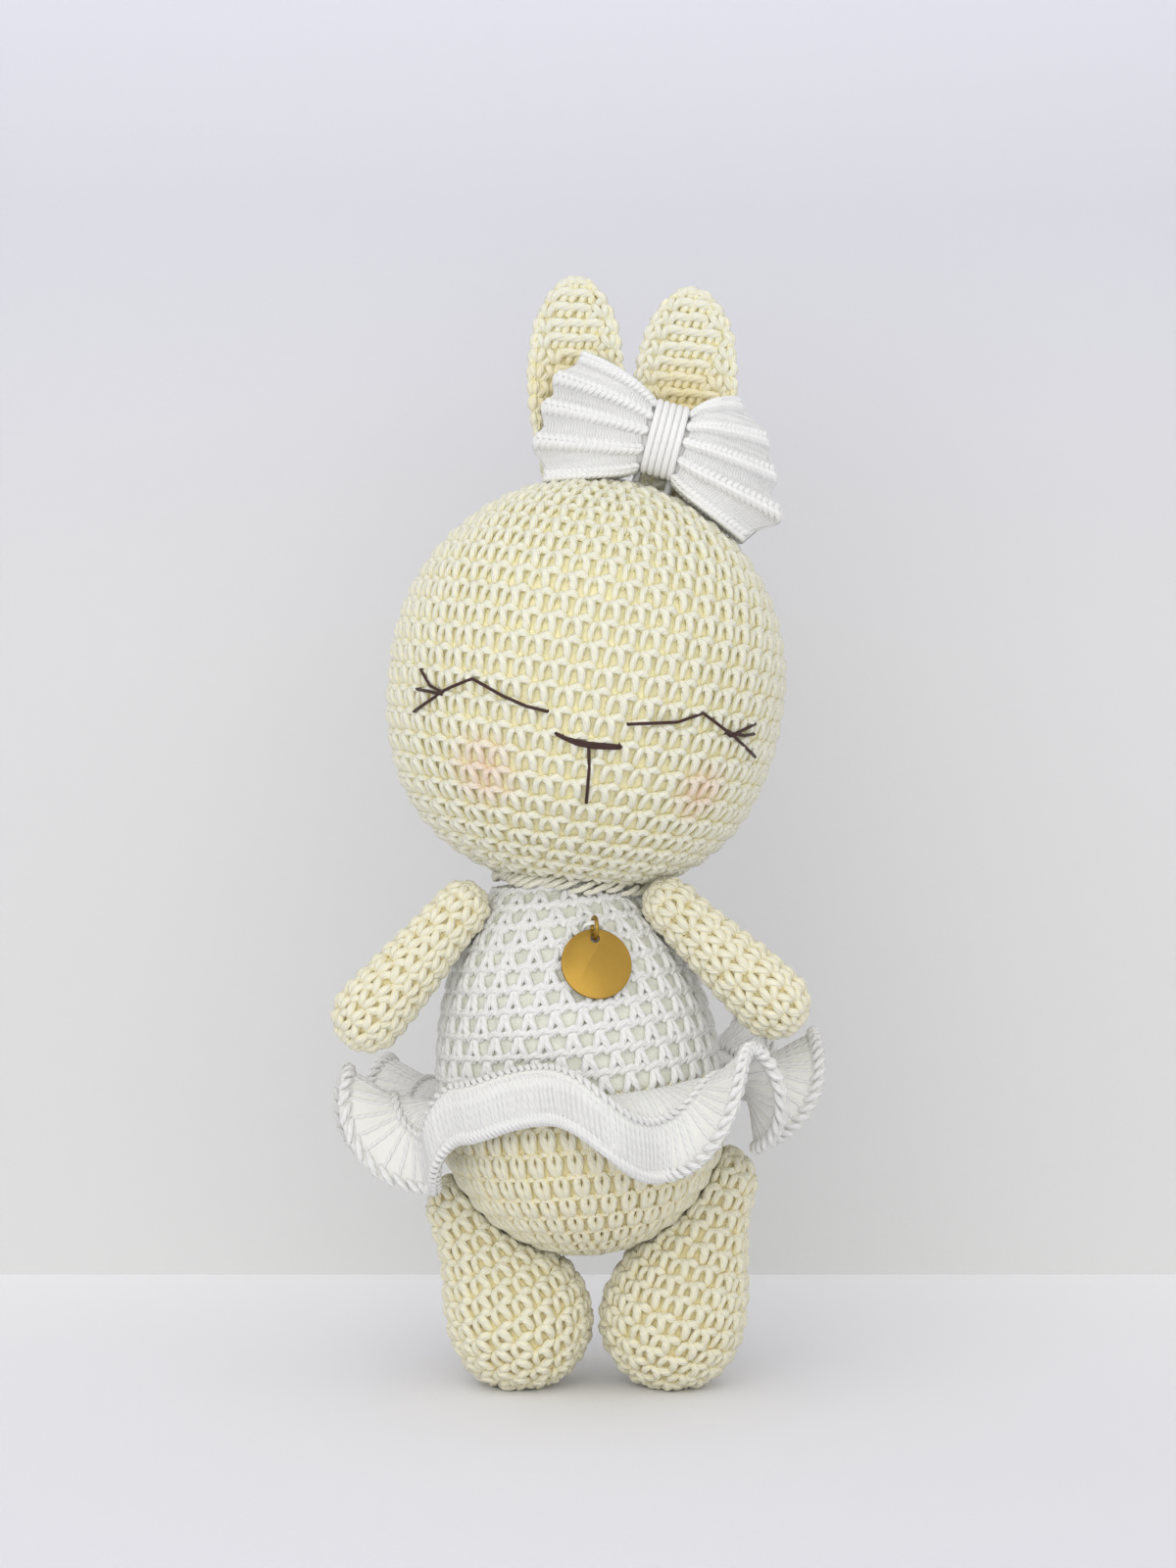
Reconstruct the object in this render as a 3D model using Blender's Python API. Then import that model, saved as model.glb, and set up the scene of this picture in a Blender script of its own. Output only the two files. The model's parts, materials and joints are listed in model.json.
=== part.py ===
"""A crocheted doll with upright ears, a bow, a frill and a hanging disc.

Sizes are in metres. X runs to the viewer's right, the doll faces -Y, Z is up, and the
soles stand at height zero. Left and right are the viewer's.
"""

import math

import bmesh
import bpy
from mathutils import Matrix, Vector

# Fits
GAP = 0.0003  # between pieces that touch
RUNNING_GAP = 0.0004  # between pieces that turn against each other
FILL_GAP = 0.0006  # between a skin and its filling
OVERRUN = 0.002  # how far a cutter or a union runs past the surface it meets
FABRIC = 0.0018  # thickness of the crocheted skin
WELD = 0.0000001  # points this close are one

# Torso: a half ball below and a taller half egg above, about one leaning axis
TORSO_RADIUS = 0.0266
TORSO_RISE = 0.0470
TORSO_X = 0.0008
TORSO_HEIGHT = 0.0508
TORSO_LEAN = math.radians(-6.0)
WAIST_RISE = 0.0047
NECK_RISE = 0.0418

# Head: round above, fuller below, rolled towards the viewer's right
HEAD_RADIUS = 0.0360
HEAD_UPPER_SHARE = 1.014
HEAD_LOWER_SHARE = 1.061
HEAD_UPPER = HEAD_RADIUS * HEAD_UPPER_SHARE
HEAD_LOWER = HEAD_RADIUS * HEAD_LOWER_SHARE
HEAD_LOWER_POWER = 2.4
HEAD_ROLL = math.radians(9.0)
HEAD_SINK = 0.0005
HEAD_SHIFT = -0.0006
NECK_PLUG_RADIUS = 0.0064
NECK_PLUG_RISE = 0.0090

# Ears: cupped leaves on the crown, placed by shares of the head's radius
EAR_THICKNESS = 0.0046
EAR_CUP = 0.0044
EAR_BACK_SHARE = 0.083
EARS = {
    "left": {"side_share": -0.217, "length": 0.0380, "width": 0.0176, "lean": math.radians(-9.0)},
    "right": {"side_share": 0.300, "length": 0.0398, "width": 0.0192, "lean": math.radians(-4.0)},
}
# Height, width, cup and thickness at each level, from below the base to the tip
EAR_LEVEL_SHARES = (
    (-0.12, 0.60, 0.80, 0.90),
    (0.02, 0.68, 0.95, 1.00),
    (0.16, 0.80, 1.00, 1.00),
    (0.30, 0.92, 1.00, 1.00),
    (0.45, 1.00, 0.90, 1.00),
    (0.60, 0.98, 0.70, 0.97),
    (0.72, 0.90, 0.50, 0.92),
    (0.82, 0.78, 0.35, 0.86),
    (0.90, 0.62, 0.20, 0.76),
    (0.96, 0.41, 0.10, 0.58),
    (0.99, 0.20, 0.04, 0.32),
)

# Bow: a ribbed strip pinched by its winding, placed by shares of the head's radius
BOW_SIDE_SHARE = 0.197
BOW_FRONT_SHARE = 0.172
BOW_LIFT = 0.0100
BOW_ROLL = math.radians(7.6)
BOW_PITCH = math.radians(-4.0)
BOW_HALF_HEIGHT = 0.0113
BOW_THICKNESS = 0.0026
BOW_RIB_DEPTH = 0.0005
BOW_RIBS = 5
BOW_PINCH_HALF_HEIGHT = 0.0050
BOW_PINCH_HALF_DEPTH = 0.0029
BOW_BACK_SWEEP = 0.0030
BOW_PUFF = 0.0018
BOW_FLARE_POWER = 0.6
BOW_EDGE_POWER = 6
BOW_EDGE_SHARE = 0.4
BOW_SWELL_SHARE = 0.5
BOW_LOBE_LENGTHS = {"left": 0.0227, "right": 0.0215}
# Reach of each lobe's end, at even steps from its lower edge to its upper edge
BOW_REACH_SHARES = {
    "left": (0.82, 0.98, 1.00, 1.00, 0.97, 0.82),
    "right": (0.86, 1.12, 1.02, 0.92, 0.80, 0.50),
}
BOW_COLUMN_SHARES = (0.0, 0.08, 0.20, 0.38, 0.60, 0.82, 1.0)
WRAP_YARN_RADIUS = 0.0003
WRAP_PITCH = 0.00106
WRAP_TURNS = 5
WRAP_TURN_POINTS = 24

# Face: embroidery thread laid on the head, points as shares of the head's radius
THREAD_RADIUS = 0.00022
NOSE_THREAD_RADIUS = 0.0005
THREAD_STEP = 0.0030
FACE_SHARES = {
    "eye_left_thread": (
        ((-0.155, -0.221), (-0.255, -0.212), (-0.379, -0.179), (-0.532, -0.120),
         (-0.614, -0.164), (-0.690, -0.211)),
        ((-0.676, -0.200), (-0.737, -0.179), (-0.796, -0.108)),
        ((-0.672, -0.212), (-0.801, -0.203)),
        ((-0.664, -0.198), (-0.800, -0.311)),
    ),
    "eye_right_thread": (
        ((0.226, -0.221), (0.456, -0.173), (0.572, -0.110), (0.740, -0.192)),
        ((0.722, -0.194), (0.838, -0.114)),
        ((0.716, -0.180), (0.790, -0.178), (0.842, -0.162)),
        ((0.712, -0.172), (0.868, -0.268)),
    ),
    "nose_thread": (((-0.101, -0.320), (-0.050, -0.343), (0.062, -0.346), (0.211, -0.331)),),
    "mouth_thread": (((0.063, -0.385), (0.080, -0.455), (0.091, -0.614)),),
}

# Frill: an inner row gathered onto the waist and an outer row that bends from it
FRILL_WIDTH = 0.0173
FRILL_FABRIC = 0.0019
FRILL_STANDOFF = 0.0012
FRILL_BEND_START_SHARE = 0.24
FRILL_BEND_END_SHARE = 0.58
FRILL_TURN_STEPS = 84
FRILL_WIDTH_STEPS = 6
FRILL_WALK_STEPS = 12
# Direction round the waist from +X towards the front, and angle of each row, in degrees
FRILL_FOLDS = (
    (4, 8, 24), (27, -30, -92), (45, 10, 32), (67, -44, -97), (103, 85, -96),
    (129, 48, -100), (151, -46, -98), (168, 13, 40), (188, -40, -86), (211, 11, 30),
    (234, -36, -92), (251, 6, -78), (267, -42, -94), (283, 6, -78), (300, -38, -92),
    (319, 11, 30), (342, -25, -78),
)

# Limbs: a round root and a round end joined by a smooth taper
ARM_ROOT_RADIUS = 0.0047
ARM_END_RADIUS = 0.0063
ARM_LENGTH = 0.0252
ARM_STANDOFF = 0.0045
ARM_FORWARD = math.radians(7.0)
SHOULDER_AZIMUTH = math.radians(30.0)
SHOULDER_RISES = {"left": 0.0365, "right": 0.0335}
ARM_SPLAYS = {"left": math.radians(-41.0), "right": math.radians(47.0)}
LEG_ROOT_RADIUS = 0.0062
LEG_END_RADIUS = 0.0129
LEG_STANDOFF = 0.0024
HIP_DROP = math.radians(34.0)
FEET_X = 0.0033
FEET_SPACING = 0.0278
FEET_Y = -0.0006
SOLE_CUT = 0.0005

# Joint threads: a knot in the limb, a thread through both skins, a knot in the torso
TIE_THREAD_RADIUS = 0.0005
TIE_KNOT_RADIUS = 0.0011
TIE_DEPTH = 0.0055

# Seam of the neck
SEAM_YARN_RADIUS = 0.0005

# Charm: yarn loop, jump ring and disc on the chest
CHARM_AZIMUTH = math.radians(15.8)
CHARM_RISE = 0.0332
LOOP_YARN_RADIUS = 0.0004
LOOP_HEIGHT = 0.0029
LOOP_HALF_WIDTH = 0.0015
RING_RADIUS = 0.0019
RING_PLAY = 0.0002
RING_WIRE_RADIUS = 0.00036
DISC_RADIUS = 0.0063
DISC_THICKNESS = 0.0007
DISC_HOLE_RADIUS = 0.00085
DISC_HOLE_OFFSET = 0.0046

# Mesh fineness
BALL_STEPS = 28
BALL_LEVELS = 16
LIMB_STEPS = 16
LIMB_LEVELS = 5
INNER_STEPS = 14
INNER_LEVELS = 6
HOLLOW_STEPS = 10
TIE_STEPS = 6
TIE_LEVELS = 4
RIM_STEPS = 32
EAR_STEPS = 18
BOW_ROWS = 20
SEAM_POINTS = 32
RING_POINTS = 18
LOOP_POINTS = 8
SMOOTH_ANGLE = math.radians(40.0)

CREAM = ("cream yarn", (0.745, 0.706, 0.560), 0.85, 0.0)
LIMB_CREAM = ("limb yarn", (0.700, 0.640, 0.470), 0.85, 0.0)
WHITE = ("white yarn", (0.800, 0.800, 0.775), 0.80, 0.0)
FIBRE = ("filling fibre", (0.640, 0.620, 0.560), 0.95, 0.0)
DARK = ("embroidery thread", (0.030, 0.014, 0.010), 0.60, 0.0)
TIE = ("joint thread", (0.700, 0.680, 0.600), 0.80, 0.0)
GOLD = ("gold plate", (0.520, 0.330, 0.075), 0.28, 1.0)


def clear_scene():
    for obj in list(bpy.data.objects):
        bpy.data.objects.remove(obj, do_unlink=True)


def material_for(spec):
    name, colour, roughness, metallic = spec
    found = bpy.data.materials.get(name)
    if found:
        return found
    material = bpy.data.materials.new(name)
    material.use_nodes = True
    shader = material.node_tree.nodes["Principled BSDF"]
    shader.inputs["Base Color"].default_value = (*colour, 1.0)
    shader.inputs["Roughness"].default_value = roughness
    shader.inputs["Metallic"].default_value = metallic
    material.diffuse_color = (*colour, 1.0)
    return material


def place(obj, frame, matrix):
    bpy.context.scene.collection.objects.link(obj)
    obj.parent = frame
    obj.matrix_parent_inverse = Matrix()
    obj.matrix_local = matrix


def frame_at(name, matrix, parent=None):
    """An empty that carries pieces; its matrix is in world space."""
    empty = bpy.data.objects.new(name, None)
    local = matrix if parent is None else parent.matrix_world.inverted() @ matrix
    place(empty, parent, local)
    bpy.context.view_layer.update()
    return empty


def solid(name, bm, spec, frame, matrix=Matrix()):
    """A named closed body from a bmesh."""
    bmesh.ops.recalc_face_normals(bm, faces=bm.faces)
    mesh = bpy.data.meshes.new(name)
    bm.to_mesh(mesh)
    bm.free()
    mesh.shade_smooth()
    mesh.set_sharp_from_angle(angle=SMOOTH_ANGLE)
    obj = bpy.data.objects.new(name, mesh)
    place(obj, frame, matrix)
    if spec is None:
        obj.hide_render = True
        obj.display_type = "WIRE"
    else:
        mesh.materials.append(material_for(spec))
    return obj


def turned(name, profile, steps, spec, frame, matrix=Matrix()):
    """A body of revolution about its own Z from (radius, height) points."""
    bm = bmesh.new()
    points = [bm.verts.new((radius, 0, height)) for radius, height in profile]
    edges = [bm.edges.new(pair) for pair in zip(points, points[1:])]
    bmesh.ops.spin(
        bm, geom=points + edges, cent=(0, 0, 0), axis=(0, 0, 1), angle=math.tau, steps=steps, use_merge=True
    )
    bmesh.ops.remove_doubles(bm, verts=bm.verts, dist=WELD)
    return solid(name, bm, spec, frame, matrix)


def slab(name, front, back, ring, spec, frame, matrix=Matrix()):
    """A body between two grids of points; ring joins the last column to the first."""
    bm = bmesh.new()
    near, far = ([[bm.verts.new(point) for point in column] for column in grid] for grid in (front, back))
    columns, rows = len(near), len(near[0])
    for i in range(columns if ring else columns - 1):
        j = (i + 1) % columns
        for k in range(rows - 1):
            for grid in (near, far):
                bm.faces.new((grid[i][k], grid[j][k], grid[j][k + 1], grid[i][k + 1]))
        for k in (0, -1):
            bm.faces.new((near[i][k], near[j][k], far[j][k], far[i][k]))
    for i in () if ring else (0, -1):
        for k in range(rows - 1):
            bm.faces.new((near[i][k], near[i][k + 1], far[i][k + 1], far[i][k]))
    return solid(name, bm, spec, frame, matrix)


def lofted(name, rings, tip, spec, frame, matrix=Matrix()):
    """A body through rings of points, closed flat at its start and by a point at its tip."""
    bm = bmesh.new()
    levels = [[bm.verts.new(point) for point in ring] for ring in rings]
    count = len(levels[0])
    for lower, upper in zip(levels, levels[1:]):
        for i in range(count):
            j = (i + 1) % count
            bm.faces.new((lower[i], lower[j], upper[j], upper[i]))
    end = bm.verts.new(tip)
    for i in range(count):
        bm.faces.new((levels[-1][i], levels[-1][(i + 1) % count], end))
    bm.faces.new(levels[0])
    return solid(name, bm, spec, frame, matrix)


def tube(name, points, radius, spec, frame, matrix=Matrix(), ring=False):
    """A round tube along a path of points, as a bevelled curve."""
    curve = bpy.data.curves.new(name, "CURVE")
    curve.dimensions = "3D"
    curve.bevel_depth = radius
    curve.bevel_resolution = 1
    curve.use_fill_caps = True
    spline = curve.splines.new("POLY")
    spline.points.add(len(points) - 1)
    for target, point in zip(spline.points, points):
        target.co = (*point, 1.0)
    spline.use_cyclic_u = ring
    curve.materials.append(material_for(spec))
    obj = bpy.data.objects.new(name, curve)
    place(obj, frame, matrix)
    return obj


def meshed(obj, spec):
    """The same tube as a mesh, for a union."""
    bpy.context.view_layer.update()
    mesh = bpy.data.meshes.new_from_object(obj.evaluated_get(bpy.context.evaluated_depsgraph_get()))
    bm = bmesh.new()
    bm.from_mesh(mesh)
    bmesh.ops.remove_doubles(bm, verts=bm.verts, dist=WELD)
    name, frame, matrix = obj.name, obj.parent, obj.matrix_local.copy()
    bpy.data.objects.remove(obj, do_unlink=True)
    return solid(name, bm, spec, frame, matrix)


def combine(target, operation, others):
    for other in others:
        modifier = target.modifiers.new(other.name, "BOOLEAN")
        modifier.operation = operation
        modifier.object = other


def cut(target, *cutters):
    combine(target, "DIFFERENCE", cutters)


def steps_between(start, end, count):
    return [start + (end - start) * i / count for i in range(count + 1)]


def bisect(low, high, is_high):
    """The value between low and high where is_high turns true."""
    for _ in range(40):
        middle = (low + high) / 2
        low, high = (low, middle) if is_high(middle) else (middle, high)
    return (low + high) / 2


def frame_on(origin, z_axis, x_hint):
    """A right-handed frame with the given Z axis and its X axis nearest a hint."""
    z_axis = z_axis.normalized()
    x_axis = (x_hint - z_axis * x_hint.dot(z_axis)).normalized()
    y_axis = z_axis.cross(x_axis)
    rotation = Matrix((x_axis, y_axis, z_axis)).transposed()
    return Matrix.Translation(origin) @ rotation.to_4x4()


def torso_point(angle, offset=0.0):
    """(radius, height) at an angle down from the torso's top."""
    radius, rise = TORSO_RADIUS + offset, TORSO_RISE + offset
    above = angle < math.pi / 2
    return radius * math.sin(angle), (rise if above else radius) * math.cos(angle)


def torso_angle(height, offset=0.0):
    """The angle down from the top at which the torso has a height."""
    reach = (TORSO_RISE if height > 0 else TORSO_RADIUS) + offset
    return math.acos(height / reach)


def torso_profile(start, end, offset, levels):
    return [torso_point(angle, offset) for angle in steps_between(start, end, levels)]


def torso_distance(frame, point):
    """Nearly the distance of a world point from the torso's outer surface."""
    local = frame.matrix_world.inverted() @ point
    across = math.hypot(local.x, local.y)
    rise = TORSO_RISE if local.z > 0 else TORSO_RADIUS
    level = math.hypot(across / TORSO_RADIUS, local.z / rise)
    slope = math.hypot(across / TORSO_RADIUS**2, local.z / rise**2) / level
    return (level - 1) / slope


def torso_site(frame, azimuth, rise):
    """A point on the torso and its outward normal, the azimuth from the front towards +X."""
    radius = torso_point(torso_angle(rise))[0]
    facing = Vector((math.sin(azimuth), -math.cos(azimuth), 0))
    reach = TORSO_RISE if rise > 0 else TORSO_RADIUS
    normal = facing * (radius / TORSO_RADIUS**2) + Vector((0, 0, rise / reach**2))
    turn = frame.matrix_world.to_3x3()
    return frame.matrix_world @ (facing * radius + Vector((0, 0, rise))), (turn @ normal).normalized()


def head_point(angle, offset=0.0):
    """(radius, height) at an angle down from the head's crown."""
    radius = HEAD_RADIUS + offset
    if angle < math.pi / 2:
        return radius * math.sin(angle), (HEAD_UPPER + offset) * math.cos(angle)
    power = 2 / HEAD_LOWER_POWER
    height = -(HEAD_LOWER + offset) * max(-math.cos(angle), 0.0) ** power
    return radius * max(math.sin(angle), 0.0) ** power, height


def head_rim_angle(radius, offset):
    """The angle at which the head's lower half narrows to a radius."""
    return math.pi - math.asin((radius / (HEAD_RADIUS + offset)) ** (HEAD_LOWER_POWER / 2))


def head_profile(start, end, offset, levels):
    return [head_point(angle, offset) for angle in steps_between(start, end, levels)]


def head_level(point, offset=0.0):
    """Below 1 inside the grown head and above 1 outside it, for a point in the head's frame."""
    across = math.hypot(point.x, point.y) / (HEAD_RADIUS + offset)
    if point.z > 0:
        return across**2 + (point.z / (HEAD_UPPER + offset)) ** 2
    return across**HEAD_LOWER_POWER + (-point.z / (HEAD_LOWER + offset)) ** HEAD_LOWER_POWER


def crown_point(x_share, y_share):
    """A point on the crown, from its place in the top view as shares of the head's radius."""
    height = HEAD_UPPER * math.sqrt(1 - x_share**2 - y_share**2)
    return Vector((HEAD_RADIUS * x_share, HEAD_RADIUS * y_share, height))


def face_point(x_share, z_share, offset):
    """A point on the front of the grown head, from its place in the front view."""
    x, z = x_share * HEAD_RADIUS, z_share * HEAD_RADIUS
    far = HEAD_RADIUS + HEAD_LOWER
    y = bisect(0, -far, lambda value: head_level(Vector((x, value, z)), offset) > 1)
    return Vector((x, y, z))


def limb_profile(root, end, length, offset, steps):
    """Root ball at the origin, end ball below it, smooth between them."""
    quarter = steps_between(0.0, math.pi / 2, steps)
    top = [((root + offset) * math.sin(a), (root + offset) * math.cos(a)) for a in quarter]
    shares = steps_between(0.0, 1.0, steps)[1:-1]
    middle = [
        (root + offset + (end - root) * (1 - math.cos(math.pi * share)) / 2, -length * share)
        for share in shares
    ]
    low = [((end + offset) * math.cos(a), -length - (end + offset) * math.sin(a)) for a in quarter]
    return top + middle + low


def tie_profile(reach, offset):
    """Knot, thread and knot along Z, with the skin's outer surface at the origin."""
    knot, thread = TIE_KNOT_RADIUS + offset, TIE_THREAD_RADIUS + offset
    neck = math.asin(thread / knot)
    angles = steps_between(0.0, math.pi - neck, TIE_LEVELS)
    upper = [(knot * math.sin(a), reach + knot * math.cos(a)) for a in angles]
    lower = [(knot * math.sin(a), -TIE_DEPTH - knot * math.cos(a)) for a in reversed(angles)]
    return upper + lower


def on_axis(profile):
    """The profile with its first and last points put exactly on the axis."""
    return [(0.0, profile[0][1])] + profile[1:-1] + [(0.0, profile[-1][1])]


def torso_frame():
    lean = Matrix.Rotation(TORSO_LEAN, 4, "Y")
    return frame_at("torso_frame", Matrix.Translation((TORSO_X, 0, TORSO_HEIGHT)) @ lean)


def head_frame(torso):
    neck = torso.matrix_world @ Vector((0, 0, NECK_RISE))
    roll = Matrix.Rotation(HEAD_ROLL, 4, "Y")
    up = roll @ Vector((0, 0, HEAD_LOWER - HEAD_SINK))
    return frame_at("head_frame", Matrix.Translation(neck + up + Vector((HEAD_SHIFT, 0, 0))) @ roll)


def make_torso(torso, head):
    """Two skins that meet at the waist and the filling inside them."""
    waist = torso_angle(WAIST_RISE)
    half_gap = GAP / 2 / TORSO_RISE
    inner = torso_angle(WAIST_RISE, -FABRIC)
    levels = BALL_LEVELS // 2
    shell = torso_profile(0.0, waist - half_gap, 0.0, levels)
    shell += torso_profile(inner - half_gap, 0.0, -FABRIC, INNER_LEVELS)
    bodice = turned("bodice_skin", on_axis(shell), BALL_STEPS, WHITE, torso)
    bowl = torso_profile(math.pi, waist + half_gap, 0.0, levels)
    bowl += torso_profile(inner + half_gap, math.pi, -FABRIC, INNER_LEVELS)
    belly = turned("belly_skin", on_axis(bowl), BALL_STEPS, CREAM, torso)
    fill = on_axis(torso_profile(0.0, math.pi, -FABRIC - FILL_GAP, INNER_LEVELS + INNER_LEVELS))
    filling = turned("body_stuffing", fill, INNER_STEPS, FIBRE, torso)
    seat = on_axis(head_profile(0.0, math.pi, RUNNING_GAP, BALL_LEVELS))
    head_room = turned("head_room", seat, BALL_STEPS, None, head)
    top = -HEAD_LOWER + NECK_PLUG_RISE
    plug_profile = [(0, top), (NECK_PLUG_RADIUS, top)]
    foot = -HEAD_LOWER - OVERRUN - OVERRUN
    plug_profile += [(NECK_PLUG_RADIUS, foot), (0, foot)]
    plug = turned("neck_plug", plug_profile, INNER_STEPS, None, head)
    cut(bodice, head_room)
    cut(filling, head_room)
    combine(filling, "UNION", [plug])
    return bodice, belly, filling


def make_head(head):
    """Shell open at the neck, and a filling with a socket for the neck's filling."""
    opening = NECK_PLUG_RADIUS + RUNNING_GAP
    shell = head_profile(0.0, head_rim_angle(opening, 0.0), 0.0, BALL_LEVELS)
    shell += head_profile(head_rim_angle(opening, -FABRIC), 0.0, -FABRIC, INNER_LEVELS + INNER_LEVELS)
    turned("head_skin", on_axis(shell), BALL_STEPS, CREAM, head)
    shrink = -FABRIC - FILL_GAP
    fill = head_profile(0.0, head_rim_angle(opening, shrink), shrink, INNER_LEVELS + INNER_LEVELS)
    roof = -HEAD_LOWER + NECK_PLUG_RISE + RUNNING_GAP
    turned("head_stuffing", on_axis(fill + [(opening, roof), (0, roof)]), INNER_STEPS, FIBRE, head)


def make_seam(torso, head):
    """Yarn lying in the groove between the head and the torso, the same distance from both."""
    lift = RUNNING_GAP + SEAM_YARN_RADIUS
    points = []
    for step in range(SEAM_POINTS):
        turn = math.tau * step / SEAM_POINTS
        facing = Vector((math.cos(turn), math.sin(turn), 0))

        def under_head(radius):
            height = head_point(head_rim_angle(radius, lift), lift)[1]
            return facing * radius + Vector((0, 0, height))

        def is_clear(radius):
            return torso_distance(torso, head.matrix_world @ under_head(radius)) > lift

        points.append(under_head(bisect(NECK_PLUG_RADIUS, HEAD_RADIUS, is_clear)))
    world = [head.matrix_world @ point for point in points]
    local = torso.matrix_world.inverted()
    tube("neck_seam_yarn", [local @ point for point in world], SEAM_YARN_RADIUS, CREAM, torso, ring=True)


def make_ear(side, head):
    """A doubled leaf with its edges cupped forward, cut to sit on the crown."""
    size = EARS[side]
    rings = []
    for height, width, cup, thickness in EAR_LEVEL_SHARES:
        ring = []
        for step in range(EAR_STEPS):
            turn = math.tau * step / EAR_STEPS
            x = size["width"] * width / 2 * math.cos(turn)
            y = EAR_THICKNESS * thickness / 2 * math.sin(turn) - EAR_CUP * cup * math.cos(turn) ** 2
            ring.append(Vector((x, y, size["length"] * height)))
        rings.append(ring)
    base = crown_point(size["side_share"], EAR_BACK_SHARE)
    matrix = Matrix.Translation(base) @ Matrix.Rotation(size["lean"], 4, "Y")
    tip = Vector((0, 0, size["length"]))
    return lofted("ear_" + side, rings, tip, CREAM, head, matrix)


def bow_reach(side, rise):
    """Length of a lobe at a rise from -1 at its lower edge to 1 at its upper edge."""
    shares = BOW_REACH_SHARES[side]
    place_in_list = (rise + 1) / 2 * (len(shares) - 1)
    index = min(int(place_in_list), len(shares) - 2)
    part = place_in_list - index
    return BOW_LOBE_LENGTHS[side] * (shares[index] * (1 - part) + shares[index + 1] * part)


def bow_point(side, out, rise, face):
    """Front (face -1) or back (face 1) of the bow, out from the winding (0) to the end (1)."""
    half_wrap = WRAP_PITCH * (WRAP_TURNS + 1) / 2
    sign = -1 if side == "left" else 1
    x = sign * (half_wrap + (bow_reach(side, rise) - half_wrap) * out)
    flare = out**BOW_FLARE_POWER
    z = rise * (BOW_PINCH_HALF_HEIGHT + (BOW_HALF_HEIGHT - BOW_PINCH_HALF_HEIGHT) * flare)
    round_edge = math.sqrt(max(1 - rise**2, 0.0))
    flat_edge = 1 - (1 - BOW_EDGE_SHARE) * rise**BOW_EDGE_POWER
    pinched = max(BOW_PINCH_HALF_DEPTH * round_edge, GAP)
    depth = pinched + (BOW_THICKNESS / 2 * flat_edge - pinched) * min(out / BOW_SWELL_SHARE, 1)
    rib = BOW_RIB_DEPTH * math.cos(math.pi * BOW_RIBS * rise) * flare
    bend = BOW_BACK_SWEEP * out**2 - BOW_PUFF * math.sin(math.pi * out)
    return Vector((x, bend + face * (depth - rib), z))


def bow_frame(head):
    centre = crown_point(BOW_SIDE_SHARE, -BOW_FRONT_SHARE) + Vector((0, 0, BOW_LIFT))
    turn = Matrix.Rotation(BOW_ROLL, 4, "Y") @ Matrix.Rotation(BOW_PITCH, 4, "X")
    return frame_at("bow_frame", head.matrix_world @ Matrix.Translation(centre) @ turn, head)


def make_bow(bow):
    rises = steps_between(-1.0, 1.0, BOW_ROWS)
    columns = [("left", out) for out in reversed(BOW_COLUMN_SHARES)]
    columns += [("right", out) for out in BOW_COLUMN_SHARES]
    front, back = (
        [[bow_point(side, out, rise, face) for rise in rises] for side, out in columns]
        for face in (-1, 1)
    )
    return slab("bow_fabric", front, back, False, WHITE, bow)


def make_wrap(bow, head):
    """Yarn wound round the pinched middle, its two ends running straight down to the head."""
    lift = GAP + WRAP_YARN_RADIUS
    high, deep = BOW_PINCH_HALF_HEIGHT + lift, BOW_PINCH_HALF_DEPTH + lift
    count = WRAP_TURNS * WRAP_TURN_POINTS
    to_head = head.matrix_world.inverted() @ bow.matrix_world

    def tail(x):
        start = Vector((x, deep, 0))

        def is_seated(drop):
            return head_level(to_head @ (start - Vector((0, 0, drop))), GAP) < 1

        drop = bisect(0, HEAD_RADIUS, is_seated)
        return [start - Vector((0, 0, drop * share)) for share in (1.0, 0.5)]

    loops = []
    for step in range(count + 1):
        turn = math.tau * step / WRAP_TURN_POINTS
        x = WRAP_PITCH * (step / WRAP_TURN_POINTS - WRAP_TURNS / 2)
        loops.append(Vector((x, deep * math.cos(turn), high * math.sin(turn))))
    first, last = tail(loops[0].x), tail(loops[-1].x)
    gap = least_gap(loops, WRAP_TURN_POINTS // 2) - WRAP_YARN_RADIUS - WRAP_YARN_RADIUS
    print(f"bow_wrap: least gap between turns {gap * 1000:.2f} mm")
    return tube("bow_wrap", first + loops + last[::-1], WRAP_YARN_RADIUS, WHITE, bow)


def least_gap(points, apart):
    """Least distance between points more than some places apart along a path."""
    return min(
        (points[i] - points[j]).length for i in range(len(points)) for j in range(i + apart, len(points))
    )


def make_face(head):
    """Each thread of the face; an eye is its lid joined with its lashes."""
    for name, strands in FACE_SHARES.items():
        radius = NOSE_THREAD_RADIUS if name == "nose_thread" else THREAD_RADIUS
        pieces = []
        for index, shares in enumerate(strands):
            points = []
            for (x0, z0), (x1, z1) in zip(shares, shares[1:]):
                parts = max(1, round(math.hypot(x1 - x0, z1 - z0) * HEAD_RADIUS / THREAD_STEP))
                for part in range(parts):
                    points.append((x0 + (x1 - x0) * part / parts, z0 + (z1 - z0) * part / parts))
            points.append(shares[-1])
            laid = [face_point(x, z, GAP + radius) for x, z in points]
            title = name if index == 0 else f"{name}_lash_{index}"
            pieces.append(tube(title, laid, radius, DARK, head))
        if len(pieces) > 1:
            lid = meshed(pieces[0], DARK)
            combine(lid, "UNION", [meshed(piece, None) for piece in pieces[1:]])


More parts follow.
